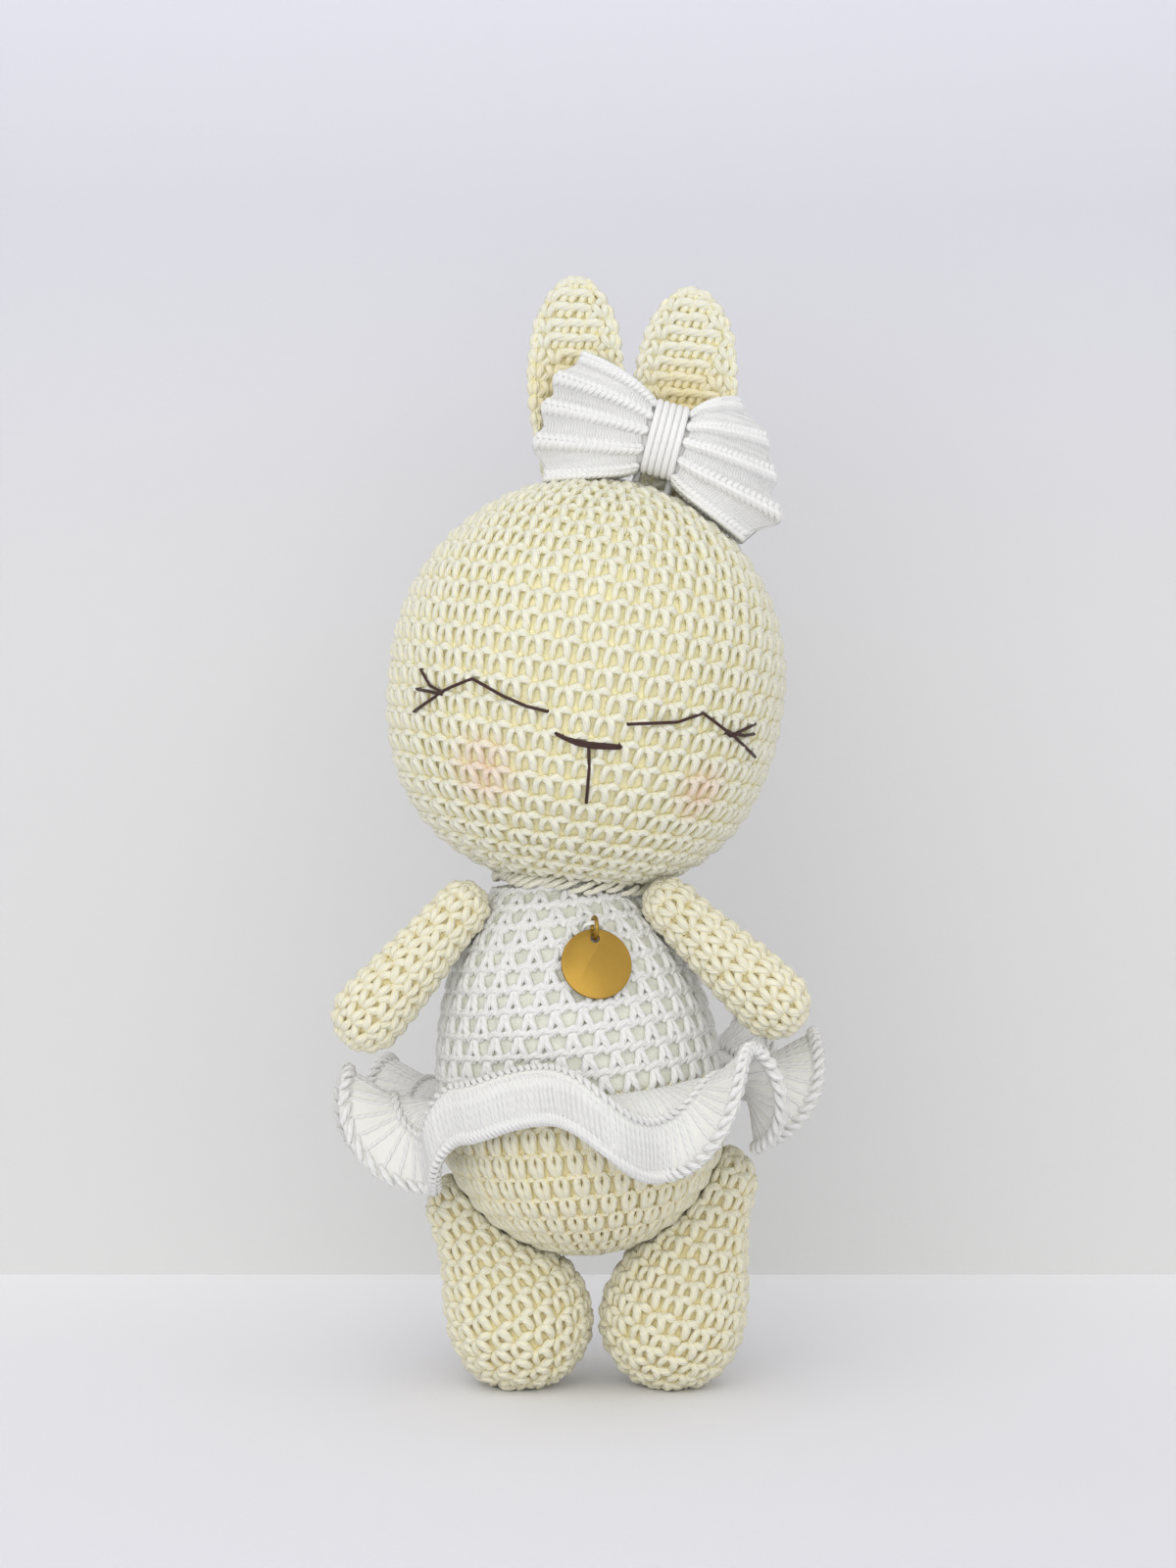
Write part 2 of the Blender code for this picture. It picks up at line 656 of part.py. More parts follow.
def frill_angles(turn):
    """Angles of the two rows at a direction round the waist, eased between the folds."""
    degrees = math.degrees(turn) % 360
    folds = [(FRILL_FOLDS[-1][0] - 360, *FRILL_FOLDS[-1][1:]), *FRILL_FOLDS]
    folds.append((FRILL_FOLDS[0][0] + 360, *FRILL_FOLDS[0][1:]))
    for (start, *low), (end, *high) in zip(folds, folds[1:]):
        if start <= degrees <= end:
            ease = eased((degrees - start) / (end - start))
            return [math.radians(a + (b - a) * ease) for a, b in zip(low, high)]
    return [0.0, 0.0]


def eased(share):
    return (1 - math.cos(math.pi * min(max(share, 0.0), 1.0))) / 2


def frill_point(turn, out):
    """Middle of the frill's fabric, out from 0 at the waist to 1 at the hem."""
    inner, outer = frill_angles(turn)
    radius = torso_point(torso_angle(WAIST_RISE))[0] + GAP
    radius += FRILL_STANDOFF * min(out * FRILL_WIDTH_STEPS, 1.0)
    height = WAIST_RISE
    bend = FRILL_BEND_END_SHARE - FRILL_BEND_START_SHARE
    stride = FRILL_WIDTH * out / FRILL_WALK_STEPS
    for step in range(FRILL_WALK_STEPS):
        share = out * (step + 0.5) / FRILL_WALK_STEPS
        angle = inner + (outer - inner) * eased((share - FRILL_BEND_START_SHARE) / bend)
        radius += stride * math.cos(angle)
        height += stride * math.sin(angle)
    return Vector((radius * math.cos(turn), -radius * math.sin(turn), height))


def make_frill(torso):
    """Gathered strip: its inner row rises or falls from the waist and its outer row bends over."""
    nudge = 1 / FRILL_TURN_STEPS
    front, back = [], []
    for step in range(FRILL_TURN_STEPS):
        turn = math.tau * step / FRILL_TURN_STEPS
        near, far = [], []
        for out in steps_between(0.0, 1.0, FRILL_WIDTH_STEPS):
            point = frill_point(turn, out)
            along = frill_point(turn + nudge, out) - frill_point(turn - nudge, out)
            across = frill_point(turn, out + nudge) - frill_point(turn, out - nudge)
            normal = along.cross(across).normalized()
            if out == 0.0:
                normal = Vector((0, 0, -1)) if normal.z < 0 else Vector((0, 0, 1))
            near.append(point + normal * FRILL_FABRIC / 2)
            far.append(point - normal * FRILL_FABRIC / 2)
        front.append(near)
        back.append(far)
    return slab("skirt_ruffle", front, back, True, WHITE, torso)


def make_limb(name, spec, sizes, frame, axis, room, inner_room):
    """Skin and filling of a limb, cut where the torso's skin lies against it."""
    root, end, length = sizes
    outer = limb_profile(root, end, length, 0.0, LIMB_LEVELS)
    skin = turned(name + "_skin", on_axis(outer), LIMB_STEPS, spec, frame, axis)
    hollow_profile = limb_profile(root, end, length, -FABRIC, LIMB_LEVELS - 1)
    hollow = turned(name + "_hollow", on_axis(hollow_profile), HOLLOW_STEPS, None, frame, axis)
    fill = limb_profile(root, end, length, -FABRIC - GAP, LIMB_LEVELS - 1)
    filling = turned(name + "_stuffing", on_axis(fill), HOLLOW_STEPS, FIBRE, frame, axis)
    cut(hollow, inner_room)
    cut(skin, room, hollow)
    cut(filling, inner_room)
    return skin, filling


def make_tie(name, reach, hinge, torso, owners):
    """Joint thread with its clearance cut from everything that it passes through."""
    matrix = torso.matrix_world.inverted() @ hinge.matrix_world
    turned(name, on_axis(tie_profile(reach, 0.0)), TIE_STEPS, TIE, torso, matrix)
    channel = on_axis(tie_profile(reach, RUNNING_GAP))
    room = turned(name + "_room", channel, TIE_STEPS, None, torso, matrix)
    for owner in owners:
        cut(owner, room)


def make_arm(side, torso, bodice, filling):
    """Arm on a hinge that stands square to the shoulder, kept outside its tangent plane."""
    sign = -1 if side == "left" else 1
    azimuth = sign * (math.pi / 2 - SHOULDER_AZIMUTH)
    site, normal = torso_site(torso, azimuth, SHOULDER_RISES[side])
    splay = ARM_SPLAYS[side]
    down = Vector((math.sin(splay), -math.tan(ARM_FORWARD), -math.cos(splay))).normalized()
    hinge = frame_at(f"arm_{side}_hinge", frame_on(site, normal, down))
    root = Vector((0, 0, ARM_STANDOFF))
    local_down = hinge.matrix_world.inverted().to_3x3() @ down
    axis = frame_on(root, -local_down, Vector((0, 0, 1)))
    reach_out = ARM_LENGTH + ARM_END_RADIUS + ARM_END_RADIUS
    rooms = []
    for title, depth in (("_room", RUNNING_GAP), ("_inner_room", RUNNING_GAP + FABRIC)):
        floor = [(0, depth), (reach_out, depth), (reach_out, -reach_out), (0, -reach_out)]
        rooms.append(turned(f"arm_{side}{title}", floor, INNER_STEPS, None, hinge))
    sizes = (ARM_ROOT_RADIUS, ARM_END_RADIUS, ARM_LENGTH)
    limb = make_limb(f"arm_{side}", LIMB_CREAM, sizes, hinge, axis, *rooms)
    reach = (RUNNING_GAP + ARM_STANDOFF + ARM_ROOT_RADIUS) / 2
    make_tie(f"arm_{side}_tie", reach, hinge, torso, (*limb, bodice, filling))


def make_leg(side, torso, belly, filling):
    """Leg on a hinge square to the belly, its inner side hollowed round the belly's ball."""
    sign = -1 if side == "left" else 1
    outward = Vector((sign * math.cos(HIP_DROP), 0, -math.sin(HIP_DROP)))
    outward = (torso.matrix_world.to_3x3() @ outward).normalized()
    centre = torso.matrix_world.translation
    site = centre + outward * TORSO_RADIUS
    hinge = frame_at(f"leg_{side}_hinge", frame_on(site, outward, Vector((0, 0, -1))))
    root = site + outward * LEG_STANDOFF
    foot_height = LEG_END_RADIUS - SOLE_CUT
    foot = Vector((FEET_X + sign * FEET_SPACING / 2, FEET_Y, foot_height))
    axis = hinge.matrix_world.inverted() @ frame_on(root, root - foot, Vector((1, 0, 0)))
    ball = Matrix.Translation((0, 0, -TORSO_RADIUS))
    rooms = []
    for title, extra in (("_room", RUNNING_GAP), ("_inner_room", RUNNING_GAP + FABRIC)):
        radius = TORSO_RADIUS + extra
        angles = steps_between(0.0, math.pi, BALL_LEVELS)
        profile = [(radius * math.sin(a), radius * math.cos(a)) for a in angles]
        rooms.append(turned(f"leg_{side}{title}", on_axis(profile), BALL_STEPS, None, hinge, ball))
    sizes = (LEG_ROOT_RADIUS, LEG_END_RADIUS, (root - foot).length)
    limb = make_limb(f"leg_{side}", LIMB_CREAM, sizes, hinge, axis, *rooms)
    wide, deep = LEG_END_RADIUS, LEG_END_RADIUS
    floor_profile = [(0, 0), (wide, 0), (wide, -deep), (0, -deep)]
    under = hinge.matrix_world.inverted() @ Matrix.Translation((foot.x, foot.y, 0))
    floor = turned(f"leg_{side}_floor", floor_profile, INNER_STEPS, None, hinge, under)
    cut(limb[0], floor)
    reach = (RUNNING_GAP + LEG_STANDOFF + LEG_ROOT_RADIUS) / 2
    make_tie(f"leg_{side}_tie", reach, hinge, torso, (*limb, belly, filling))


def ring_points(radius, count):
    """Points of a circle in the YZ plane."""
    turns = [math.tau * step / count for step in range(count)]
    return [Vector((0, radius * math.cos(turn), radius * math.sin(turn))) for turn in turns]


def make_charm(torso):
    """Loop of yarn on the chest, the ring through it, and the disc that hangs from the ring."""
    site, normal = torso_site(torso, CHARM_AZIMUTH, CHARM_RISE)
    level = Vector((normal.x, normal.y, 0)).normalized()
    upright = frame_on(Vector((0, 0, 0)), Vector((0, 0, 1)), Vector((-level.y, level.x, 0)))
    pivot = site + normal * LOOP_HEIGHT
    swing = frame_at("ring_hinge", Matrix.Translation(pivot) @ upright.to_3x3().to_4x4())
    side = upright.to_3x3() @ Vector((1, 0, 0))
    foot_lift = GAP - LOOP_HEIGHT
    legs = steps_between(foot_lift, -LOOP_HALF_WIDTH, 2)
    arch = [side * -LOOP_HALF_WIDTH + normal * lift for lift in legs[:-1]]
    for turn in steps_between(0.0, math.pi, LOOP_POINTS):
        arch.append(
            side * (-LOOP_HALF_WIDTH * math.cos(turn))
            + normal * (LOOP_HALF_WIDTH * (math.sin(turn) - 1))
        )
    arch += [side * LOOP_HALF_WIDTH + normal * lift for lift in legs[-2::-1]]
    local = torso.matrix_world.inverted()
    tube("charm_loop", [local @ (pivot + point) for point in arch], LOOP_YARN_RADIUS, WHITE, torso)
    hang = RING_RADIUS - RING_WIRE_RADIUS - RING_PLAY - LOOP_YARN_RADIUS
    middle = Matrix.Translation((0, 0, -hang))
    tube("jump_ring", ring_points(RING_RADIUS, RING_POINTS), RING_WIRE_RADIUS, GOLD, swing, middle, ring=True)
    hole = Vector((0, 0, -hang - RING_RADIUS))

    def rim(lean, turn):
        """A point on the back of the disc's rim, hanging from its hole."""
        x, z = DISC_RADIUS * math.cos(turn), DISC_RADIUS * math.sin(turn) - DISC_HOLE_OFFSET
        return swing.matrix_world @ (hole + disc_turn(lean) @ Vector((x, DISC_THICKNESS / 2, z)))

    def is_clear(lean):
        turns = [math.tau * step / RIM_STEPS for step in range(RIM_STEPS)]
        return min(torso_distance(torso, rim(lean, turn)) for turn in turns) > GAP

    lean = bisect(0.0, math.pi / 3, is_clear)
    hang_frame = swing.matrix_world @ Matrix.Translation(hole) @ disc_turn(lean).to_4x4()
    hinge = frame_at("disc_hinge", hang_frame)
    make_disc(hinge)


def disc_turn(lean):
    """Leaning back: the lower edge comes forward, away from the chest's slope."""
    return Matrix.Rotation(-lean, 3, "X")


def make_disc(hinge):
    """Disc with its face towards -Y and its hole at the origin."""
    flat = Matrix.Rotation(math.pi / 2, 4, "X")
    half = DISC_THICKNESS / 2
    edge = half / 2
    profile = [(0, half), (DISC_RADIUS - edge, half), (DISC_RADIUS, half - edge)]
    profile += [(DISC_RADIUS, edge - half), (DISC_RADIUS - edge, -half), (0, -half)]
    centre = Matrix.Translation((0, 0, -DISC_HOLE_OFFSET)) @ flat
    disc = turned("charm_disc", profile, RIM_STEPS, GOLD, hinge, centre)
    reach = half + OVERRUN
    drill = [(0, reach), (DISC_HOLE_RADIUS, reach), (DISC_HOLE_RADIUS, -reach), (0, -reach)]
    cut(disc, turned("disc_drill", drill, INNER_STEPS, None, hinge, flat))


def main():
    clear_scene()
    torso = torso_frame()
    head = head_frame(torso)
    bodice, belly, filling = make_torso(torso, head)
    make_head(head)
    make_seam(torso, head)
    seat = on_axis(head_profile(0.0, math.pi, GAP, BALL_LEVELS + BALL_LEVELS))
    crown_room = turned("crown_room", seat, BALL_STEPS, None, head)
    for side in EARS:
        cut(make_ear(side, head), crown_room)
    bow = bow_frame(head)
    cut(make_bow(bow), crown_room)
    make_wrap(bow, head)
    make_face(head)
    make_frill(torso)
    for side in ARM_SPLAYS:
        make_arm(side, torso, bodice, filling)
        make_leg(side, torso, belly, filling)
    make_charm(torso)


main()
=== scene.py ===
import json
import math
import random

import bmesh
import bpy
import numpy as np
from bpy.props import FloatProperty, FloatVectorProperty, PointerProperty
from mathutils import Matrix, Vector


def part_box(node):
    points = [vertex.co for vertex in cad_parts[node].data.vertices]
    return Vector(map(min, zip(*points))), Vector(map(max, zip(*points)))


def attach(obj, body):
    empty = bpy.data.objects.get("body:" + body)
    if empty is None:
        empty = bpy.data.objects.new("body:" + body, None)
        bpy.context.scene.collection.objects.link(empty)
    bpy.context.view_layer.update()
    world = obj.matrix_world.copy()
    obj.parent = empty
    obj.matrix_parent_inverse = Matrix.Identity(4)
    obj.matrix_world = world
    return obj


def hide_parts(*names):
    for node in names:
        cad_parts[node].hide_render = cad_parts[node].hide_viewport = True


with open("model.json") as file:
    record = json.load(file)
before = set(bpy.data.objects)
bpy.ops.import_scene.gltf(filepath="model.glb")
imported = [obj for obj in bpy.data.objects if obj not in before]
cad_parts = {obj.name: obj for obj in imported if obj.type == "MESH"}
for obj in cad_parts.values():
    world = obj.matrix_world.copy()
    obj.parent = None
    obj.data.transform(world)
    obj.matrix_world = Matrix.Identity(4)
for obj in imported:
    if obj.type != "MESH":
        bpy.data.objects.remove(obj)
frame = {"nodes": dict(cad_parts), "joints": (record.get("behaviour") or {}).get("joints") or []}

bl_info = {
    "name": "Crocheted doll",
    "version": (1, 0, 0),
    "blender": (4, 5, 0),
    "location": "3D View > Sidebar > Doll",
    "description": "Works the yarn, filling, thread and gold of a crocheted doll round its frame",
    "category": "Add Mesh",
}

MM = 0.001
JOINTS = {joint["name"]: joint for joint in frame["joints"]}
RING_POINTS = 72  # points round each worked surface
SEED = 7
LAP = 9.0 * MM  # yarn in one turn of its plies
# The head is taller above its middle than it is wide, and fuller below
CROWN_SHARE, CHIN_SHARE, CHIN_POWER = 1.014, 1.061, 2.4
NECK_TOP = 41.6 * MM  # where the bodice ends, above the torso's middle
EAR_DEPTH, EAR_CUP, EAR_BACK = 2.3 * MM, 4.4 * MM, 0.083
SKIRT_STAND = 1.2 * MM  # how far the frill stands off the waist
BOW_ACROSS, BOW_FRONT, BOW_LIFT = 0.197, 0.172, 9.4 * MM
BOW_HALF_WRAP, BOW_PINCH, BOW_HALF_HEIGHT = 3.18 * MM, 5.0 * MM, 11.3 * MM
BOW_YARN, WRAP_YARN, WRAP_PITCH = 0.60 * MM, 0.63 * MM, 1.22 * MM
DISC_RADIUS, DISC_THICKNESS, DISC_DROP, HOLE_RADIUS = 6.3 * MM, 0.7 * MM, 4.6 * MM, 0.85 * MM
RING_RADIUS, WIRE_RADIUS = 1.9 * MM, 0.36 * MM
GOLD = (0.385, 0.235, 0.048)


def petal(start, end, lift, thick):
    """A plump strand that comes steeply out of the work and dives back into it."""
    way = ((0.0, -1.0, 0.85), (0.06, 0.35, 0.97), (0.28, 0.95, 1.05), (0.62, 1.0, 1.05), (0.92, 0.4, 0.97),
           (1.0, -1.0, 0.85))
    return tuple(
        (start[0] + (end[0] - start[0]) * share, start[1] + (end[1] - start[1]) * share,
         lift * rise if rise > 0 else -0.9, thick * size)
        for share, rise, size in way)


# Stitches: strands of (across, up, lift, thickness); across and up are shares of the cell,
# lift is in yarn radii above the bed and thickness is a share of the yarn's radius
HEAD_STITCH = (
    ((-0.02, 0.30, -0.6, 0.85), (-0.12, 0.43, 0.35, 0.95), (-0.23, 0.34, 0.70, 1.00),
     (-0.29, 0.10, 0.60, 1.00), (-0.30, -0.16, 0.25, 0.96), (-0.27, -0.42, -1.0, 0.85)),
    ((-0.06, 0.34, -0.5, 0.95), (0.06, 0.47, 0.60, 1.12), (0.18, 0.37, 0.95, 1.20),
     (0.24, 0.12, 0.85, 1.20), (0.26, -0.14, 0.35, 1.12), (0.26, -0.42, -1.0, 0.90)),
    ((0.12, 0.36, -0.5, 0.95), (0.26, 0.52, 0.50, 1.15), (0.42, 0.60, 0.70, 1.22),
     (0.58, 0.54, 0.35, 1.12), (0.72, 0.38, -0.8, 0.85)),
)
BELLY_STITCH = (
    ((-0.02, -0.58, -0.7, 1.00), (-0.13, -0.34, 0.35, 1.22), (-0.20, -0.06, 0.60, 1.22),
     (-0.25, 0.18, 0.45, 1.12), (-0.16, 0.38, 0.15, 1.02), (0.00, 0.46, 0.05, 0.98)),
    ((0.02, -0.58, -0.7, 1.00), (0.13, -0.34, 0.35, 1.22), (0.20, -0.06, 0.60, 1.22),
     (0.25, 0.18, 0.45, 1.12), (0.16, 0.38, 0.15, 1.02), (0.00, 0.46, 0.05, 0.98)),
    ((-0.66, 0.34, -0.6, 0.95), (-0.50, 0.46, 0.15, 1.10), (-0.34, 0.34, -0.6, 0.95)),
)
BODICE_STITCH = (
    ((-0.04, 0.44, -0.2, 1.05), (-0.07, 0.20, 0.3, 1.15), (-0.12, -0.06, 0.6, 1.18),
     (-0.20, -0.30, 0.7, 1.15), (-0.24, -0.54, -0.1, 1.05)),
    ((0.07, 0.44, -0.2, 1.05), (0.07, 0.20, 0.3, 1.15), (0.12, -0.06, 0.6, 1.18),
     (0.21, -0.30, 0.7, 1.15), (0.25, -0.54, -0.1, 1.05)),
    ((-0.36, 0.34, -0.2, 1.00), (-0.18, 0.50, 0.5, 1.20), (0.06, 0.58, 0.6, 1.25),
     (0.28, 0.50, 0.4, 1.15), (0.42, 0.34, -0.3, 1.00)),
    ((0.12, 0.34, -0.3, 1.00), (0.34, 0.46, 0.4, 1.18), (0.56, 0.56, 0.5, 1.22),
     (0.74, 0.42, -0.3, 1.00)),
)
ARM_STITCH = (
    petal((0.17, -0.40), (-0.13, 0.36), 0.75, 1.08),
    petal((0.37, -0.42), (0.54, 0.38), 0.80, 1.10),
    petal((-0.47, -0.62), (-0.02, -0.14), 0.50, 1.05),
)
EAR_RIDGE = (
    ((-0.55, 0.10, -0.2, 1.25), (-0.20, 0.20, 0.6, 1.45), (0.20, 0.14, 0.6, 1.45),
     (0.55, 0.10, -0.2, 1.25)),
    ((-0.12, -0.46, -0.6, 1.10), (0.02, -0.18, 0.1, 1.20), (0.12, 0.10, -0.3, 1.00)),
    ((0.36, -0.46, -0.6, 1.05), (0.46, -0.20, 0.0, 1.15), (0.58, 0.08, -0.3, 1.00)),
)


def colour_setting(name, description, default):
    return FloatVectorProperty(
        name=name, description=description, subtype="COLOR", size=3, min=0, max=1, default=default)


def length_setting(name, description, millimetres):
    return FloatProperty(
        name=name, description=description, subtype="DISTANCE", unit="LENGTH", default=millimetres * MM)


def angle_setting(name, description, degrees):
    return FloatProperty(
        name=name, description=description, subtype="ANGLE", unit="ROTATION", default=math.radians(degrees))


class YarnSettings(bpy.types.PropertyGroup):
    cream: colour_setting("Cream yarn", "Colour of the head, ears and belly", (0.775, 0.768, 0.685))
    limb: colour_setting("Limb yarn", "Colour of the arms and legs", (0.765, 0.748, 0.625))
    white: colour_setting("White yarn", "Colour of the bodice, frill and bow", (0.765, 0.762, 0.75))
    # The filling colours are the stuffing's own colour made darker, and on the head and limbs yellower, as
    # painted shade and bounce light in the holes between the stitches
    filling: colour_setting(
        "Head filling", "Colour of the fibre seen between the stitches of the head", (0.86, 0.81, 0.52))
    limb_filling: colour_setting(
        "Limb filling", "Colour seen between the stitches of the limbs and belly", (0.76, 0.68, 0.39))
    body_filling: colour_setting("Body filling", "Colour seen through the bodice", (0.70, 0.70, 0.61))
    blush: colour_setting("Blush", "Colour of the two cheeks", (0.85, 0.55, 0.42))
    thread: colour_setting("Thread", "Colour of the embroidered face", (0.055, 0.023, 0.017))
    thread_radius: length_setting("Face thread", "Radius of the thread of the face", 0.29)
    head_radius: length_setting("Head yarn", "Radius of the head's yarn where a stitch shows it", 0.66)
    belly_radius: length_setting("Belly yarn", "Radius of the belly's yarn", 0.66)
    bodice_radius: length_setting("Bodice yarn", "Radius of the bodice's yarn", 0.60)
    limb_radius: length_setting("Limb yarn radius", "Radius of the yarn of the arms and legs", 0.73)
    frill_radius: length_setting("Frill yarn", "Radius of the frill's yarn", 0.53)


class BodySettings(bpy.types.PropertyGroup):
    head_roll: angle_setting("Head roll", "Tilt of the head towards the viewer's right", 9.0)
    head_radius: length_setting("Head radius", "Half the width of the head", 36.0)
    torso_lean: angle_setting("Torso lean", "Lean of the torso towards the viewer's left", -6.0)
    torso_radius: length_setting("Torso radius", "Half the width of the belly", 26.6)
    torso_rise: length_setting("Torso rise", "Height of the torso's upper half above its middle", 47.0)
    torso_height: length_setting("Torso height", "Height of the torso's middle above the floor", 50.8)
    waist_rise: length_setting("Waist", "Height of the waist above the torso's middle", 4.7)
    frill_width: length_setting("Frill width", "Width of the frill from the waist to its hem", 17.3)
    bed: length_setting("Bed", "Depth of the middle of the yarn below the outside of the work", 0.75)
    fill_depth: length_setting("Filling depth", "Depth of the filling below the outside of the work", 0.90)


class StageSettings(bpy.types.PropertyGroup):
    camera_height: length_setting("Camera height", "Height of the camera above the floor", 110.2)
    camera_reach: length_setting("Camera distance", "Distance from the camera to the doll", 480.0)
    frame_height: length_setting("Frame height", "Height that the picture shows at the doll", 288.0)
    wall_reach: length_setting("Wall distance", "Distance from the doll to the wall behind it", 107.0)
    sky: FloatProperty(
        name="Sky", description="Strength of the even light", min=0, default=0.775)
    key: FloatProperty(
        name="Main lamp", description="Power of the lamp above the doll",
        unit="POWER", min=0, default=1.32)


def settings():
    scene = bpy.context.scene
    return scene.doll_yarn, scene.doll_body, scene.doll_stage


class Work:
    """A worked surface: rings of points, walked by a share round and by a distance up."""

    def __init__(self, rings, closed=True):
        grid = np.array([[tuple(point) for point in ring] for ring in rings], float)
        self.closed = closed
        if closed:
            grid = np.concatenate((grid, grid[:, :1]), axis=1)
        steps = np.linalg.norm(np.diff(grid, axis=0), axis=2).mean(axis=1)
        self.grid = grid
        self.reach = np.concatenate(((0.0,), np.cumsum(steps)))
        across = np.gradient(grid, axis=1)
        if closed:
            across[:, 0] = across[:, -1] = grid[:, 1] - grid[:, -2]
        upward = np.gradient(grid, axis=0)
        normal = np.cross(across, upward)
        self.normal = normal / np.maximum(np.linalg.norm(normal, axis=2, keepdims=True), 1e-12)
        for row, near in ((0, 1), (-1, -2)):
            flat = np.linalg.norm(normal[row], axis=1) < 1e-10
            self.normal[row][flat] = self.normal[near].mean(axis=0)

    @property
    def length(self):
        return float(self.reach[-1])

    def girth(self, up):
        """Distance round the work at a height up it."""
        ring = self.row(self.grid, up)
        return float(np.linalg.norm(np.diff(ring, axis=0), axis=1).sum())

    def row(self, values, up):
        up = min(max(up, 0.0), self.length)
        high = min(max(int(np.searchsorted(self.reach, up)), 1), len(self.reach) - 1)
        part = (up - self.reach[high - 1]) / max(self.reach[high] - self.reach[high - 1], 1e-12)
        return values[high - 1] * (1 - part) + values[high] * part

    def place(self, around, up):
        """The point at a share round and a distance up, and the outward direction there."""
        count = self.grid.shape[1] - 1
        place = (around % 1.0 if self.closed else min(max(around, 0.0), 1.0)) * count
        left = min(int(place), count - 1)
        part = place - left
        spots = []
        for values in (self.grid, self.normal):
            ring = self.row(values[:, left:left + 2], up)
            spots.append(ring[0] * (1 - part) + ring[1] * part)
        return Vector(spots[0]), Vector(spots[1]).normalized()

    def point(self, around, up, lift=0.0):
        spot, outward = self.place(around, up)
        return spot + outward * lift


def turned_rings(matrix, profile, count=RING_POINTS):
    """Rings of a body of revolution, starting at its front and going to the viewer's right."""
    rings = []
    for radius, height in profile:
        turns = (math.tau * step / count for step in range(count))
        rings.append([
            matrix @ Vector((radius * math.sin(turn), -radius * math.cos(turn), height)) for turn in turns])
    return rings


def even_rings(rings, count=RING_POINTS):
    """The same closed rings with their points evenly spaced."""
    result = []
    for ring in rings:
        points = np.array([tuple(point) for point in ring + ring[:1]])
        reach = np.concatenate(((0.0,), np.cumsum(np.linalg.norm(np.diff(points, axis=0), axis=1))))
        places = np.linspace(0, reach[-1], count, endpoint=False)
        result.append([
            Vector(np.interp(place, reach, points[:, axis]) for axis in range(3)) for place in places])
    return result


def head_matrix():
    body = settings()[1]
    return Matrix.Translation(JOINTS["head_turn"]["pos_m"]) @ Matrix.Rotation(body.head_roll, 4, "Y")


def head_profile(lift=0.0, start=0.055, count=48):
    """Radius and height from the neck to the crown."""
    radius = settings()[1].head_radius
    profile = []
    for step in range(count + 1):
        angle = math.pi * (1 - start) * (1 - step / count)
        up, down = radius * CROWN_SHARE + lift, radius * CHIN_SHARE + lift
        wide = radius + lift
        if angle < math.pi / 2:
            profile.append((wide * math.sin(angle), up * math.cos(angle)))
        else:
            power = 2 / CHIN_POWER
            profile.append((wide * math.sin(angle) ** power, -down * max(-math.cos(angle), 0) ** power))
    return profile


def torso_matrix():
    body = settings()[1]
    return Matrix.Translation((0.8 * MM, 0, body.torso_height)) @ Matrix.Rotation(body.torso_lean, 4, "Y")


def torso_profile(low, high, lift=0.0, count=40):
    """Radius and height between two heights of the torso, from low to high."""
    body = settings()[1]
    radius, rise = body.torso_radius + lift, body.torso_rise + lift
    ends = [math.acos(max(min(z / (rise if z > 0 else radius), 1), -1)) for z in (low, high)]
    profile = []
    for step in range(count + 1):
        angle = ends[0] + (ends[1] - ends[0]) * step / count
        tall = rise if angle < math.pi / 2 else radius
        profile.append((radius * math.sin(angle), tall * math.cos(angle)))
    return profile


def limb_profile(root, end, length, lift=0.0, count=14):
    """Radius and height from the tip of the end ball to the top of the root ball."""
    shares = [step / count for step in range(count + 1)]
    low = [((end + lift) * math.sin(s * math.pi / 2), -length - (end + lift) * math.cos(s * math.pi / 2))
           for s in shares]
    middle = [(root + lift + (end - root) * (1 - math.cos(math.pi * (1 - s))) / 2, -length * (1 - s))
              for s in shares[1:-1]]
    top = [((root + lift) * math.cos(s * math.pi / 2), (root + lift) * math.sin(s * math.pi / 2))
           for s in shares]
    return low + middle + top


def work_rounds(threads, work, rows, pattern, radius, rng, bed, press=None, keep=None, lean=0.3, loose=0.03):
    """Lays a stitch pattern round after round; rows are (height up the work, round height, count)."""
    phase = 0.0
    for up, height, count in rows:
        for index in range(count):
            start = (index + phase) / count
            if keep and not keep(start % 1.0):
                continue
            sway, hop, size = (rng.uniform(-1, 1) for _ in range(3))
            for strand in pattern:
                points = []
                for across, rise, lift, thick in strand:
                    ground, outward = work.place(
                        start + (across + sway * loose) / count, up + (rise + hop * loose) * height)
                    spot = ground + outward * (lift * radius + bed)
                    if press:
                        spot = press(spot, radius * thick)
                    points.append((spot, thick * (1 + size * 0.05), lift, outward))
                threads.append(points)
        phase += lean


def even_rows(work, height, width, start=0.0, end=None, step=1, least=6):
    """Rounds of even height that fill the work, their counts from its girth."""
    end = work.length if end is None else end
    number = max(1, round((end - start) / height))
    tall = (end - start) / number
    rows = []
    for index in range(number):
        up = start + tall * (index + 0.5)
        count = max(least, round(work.girth(up) / width / step) * step)
        rows.append((up, tall, count))
    return rows


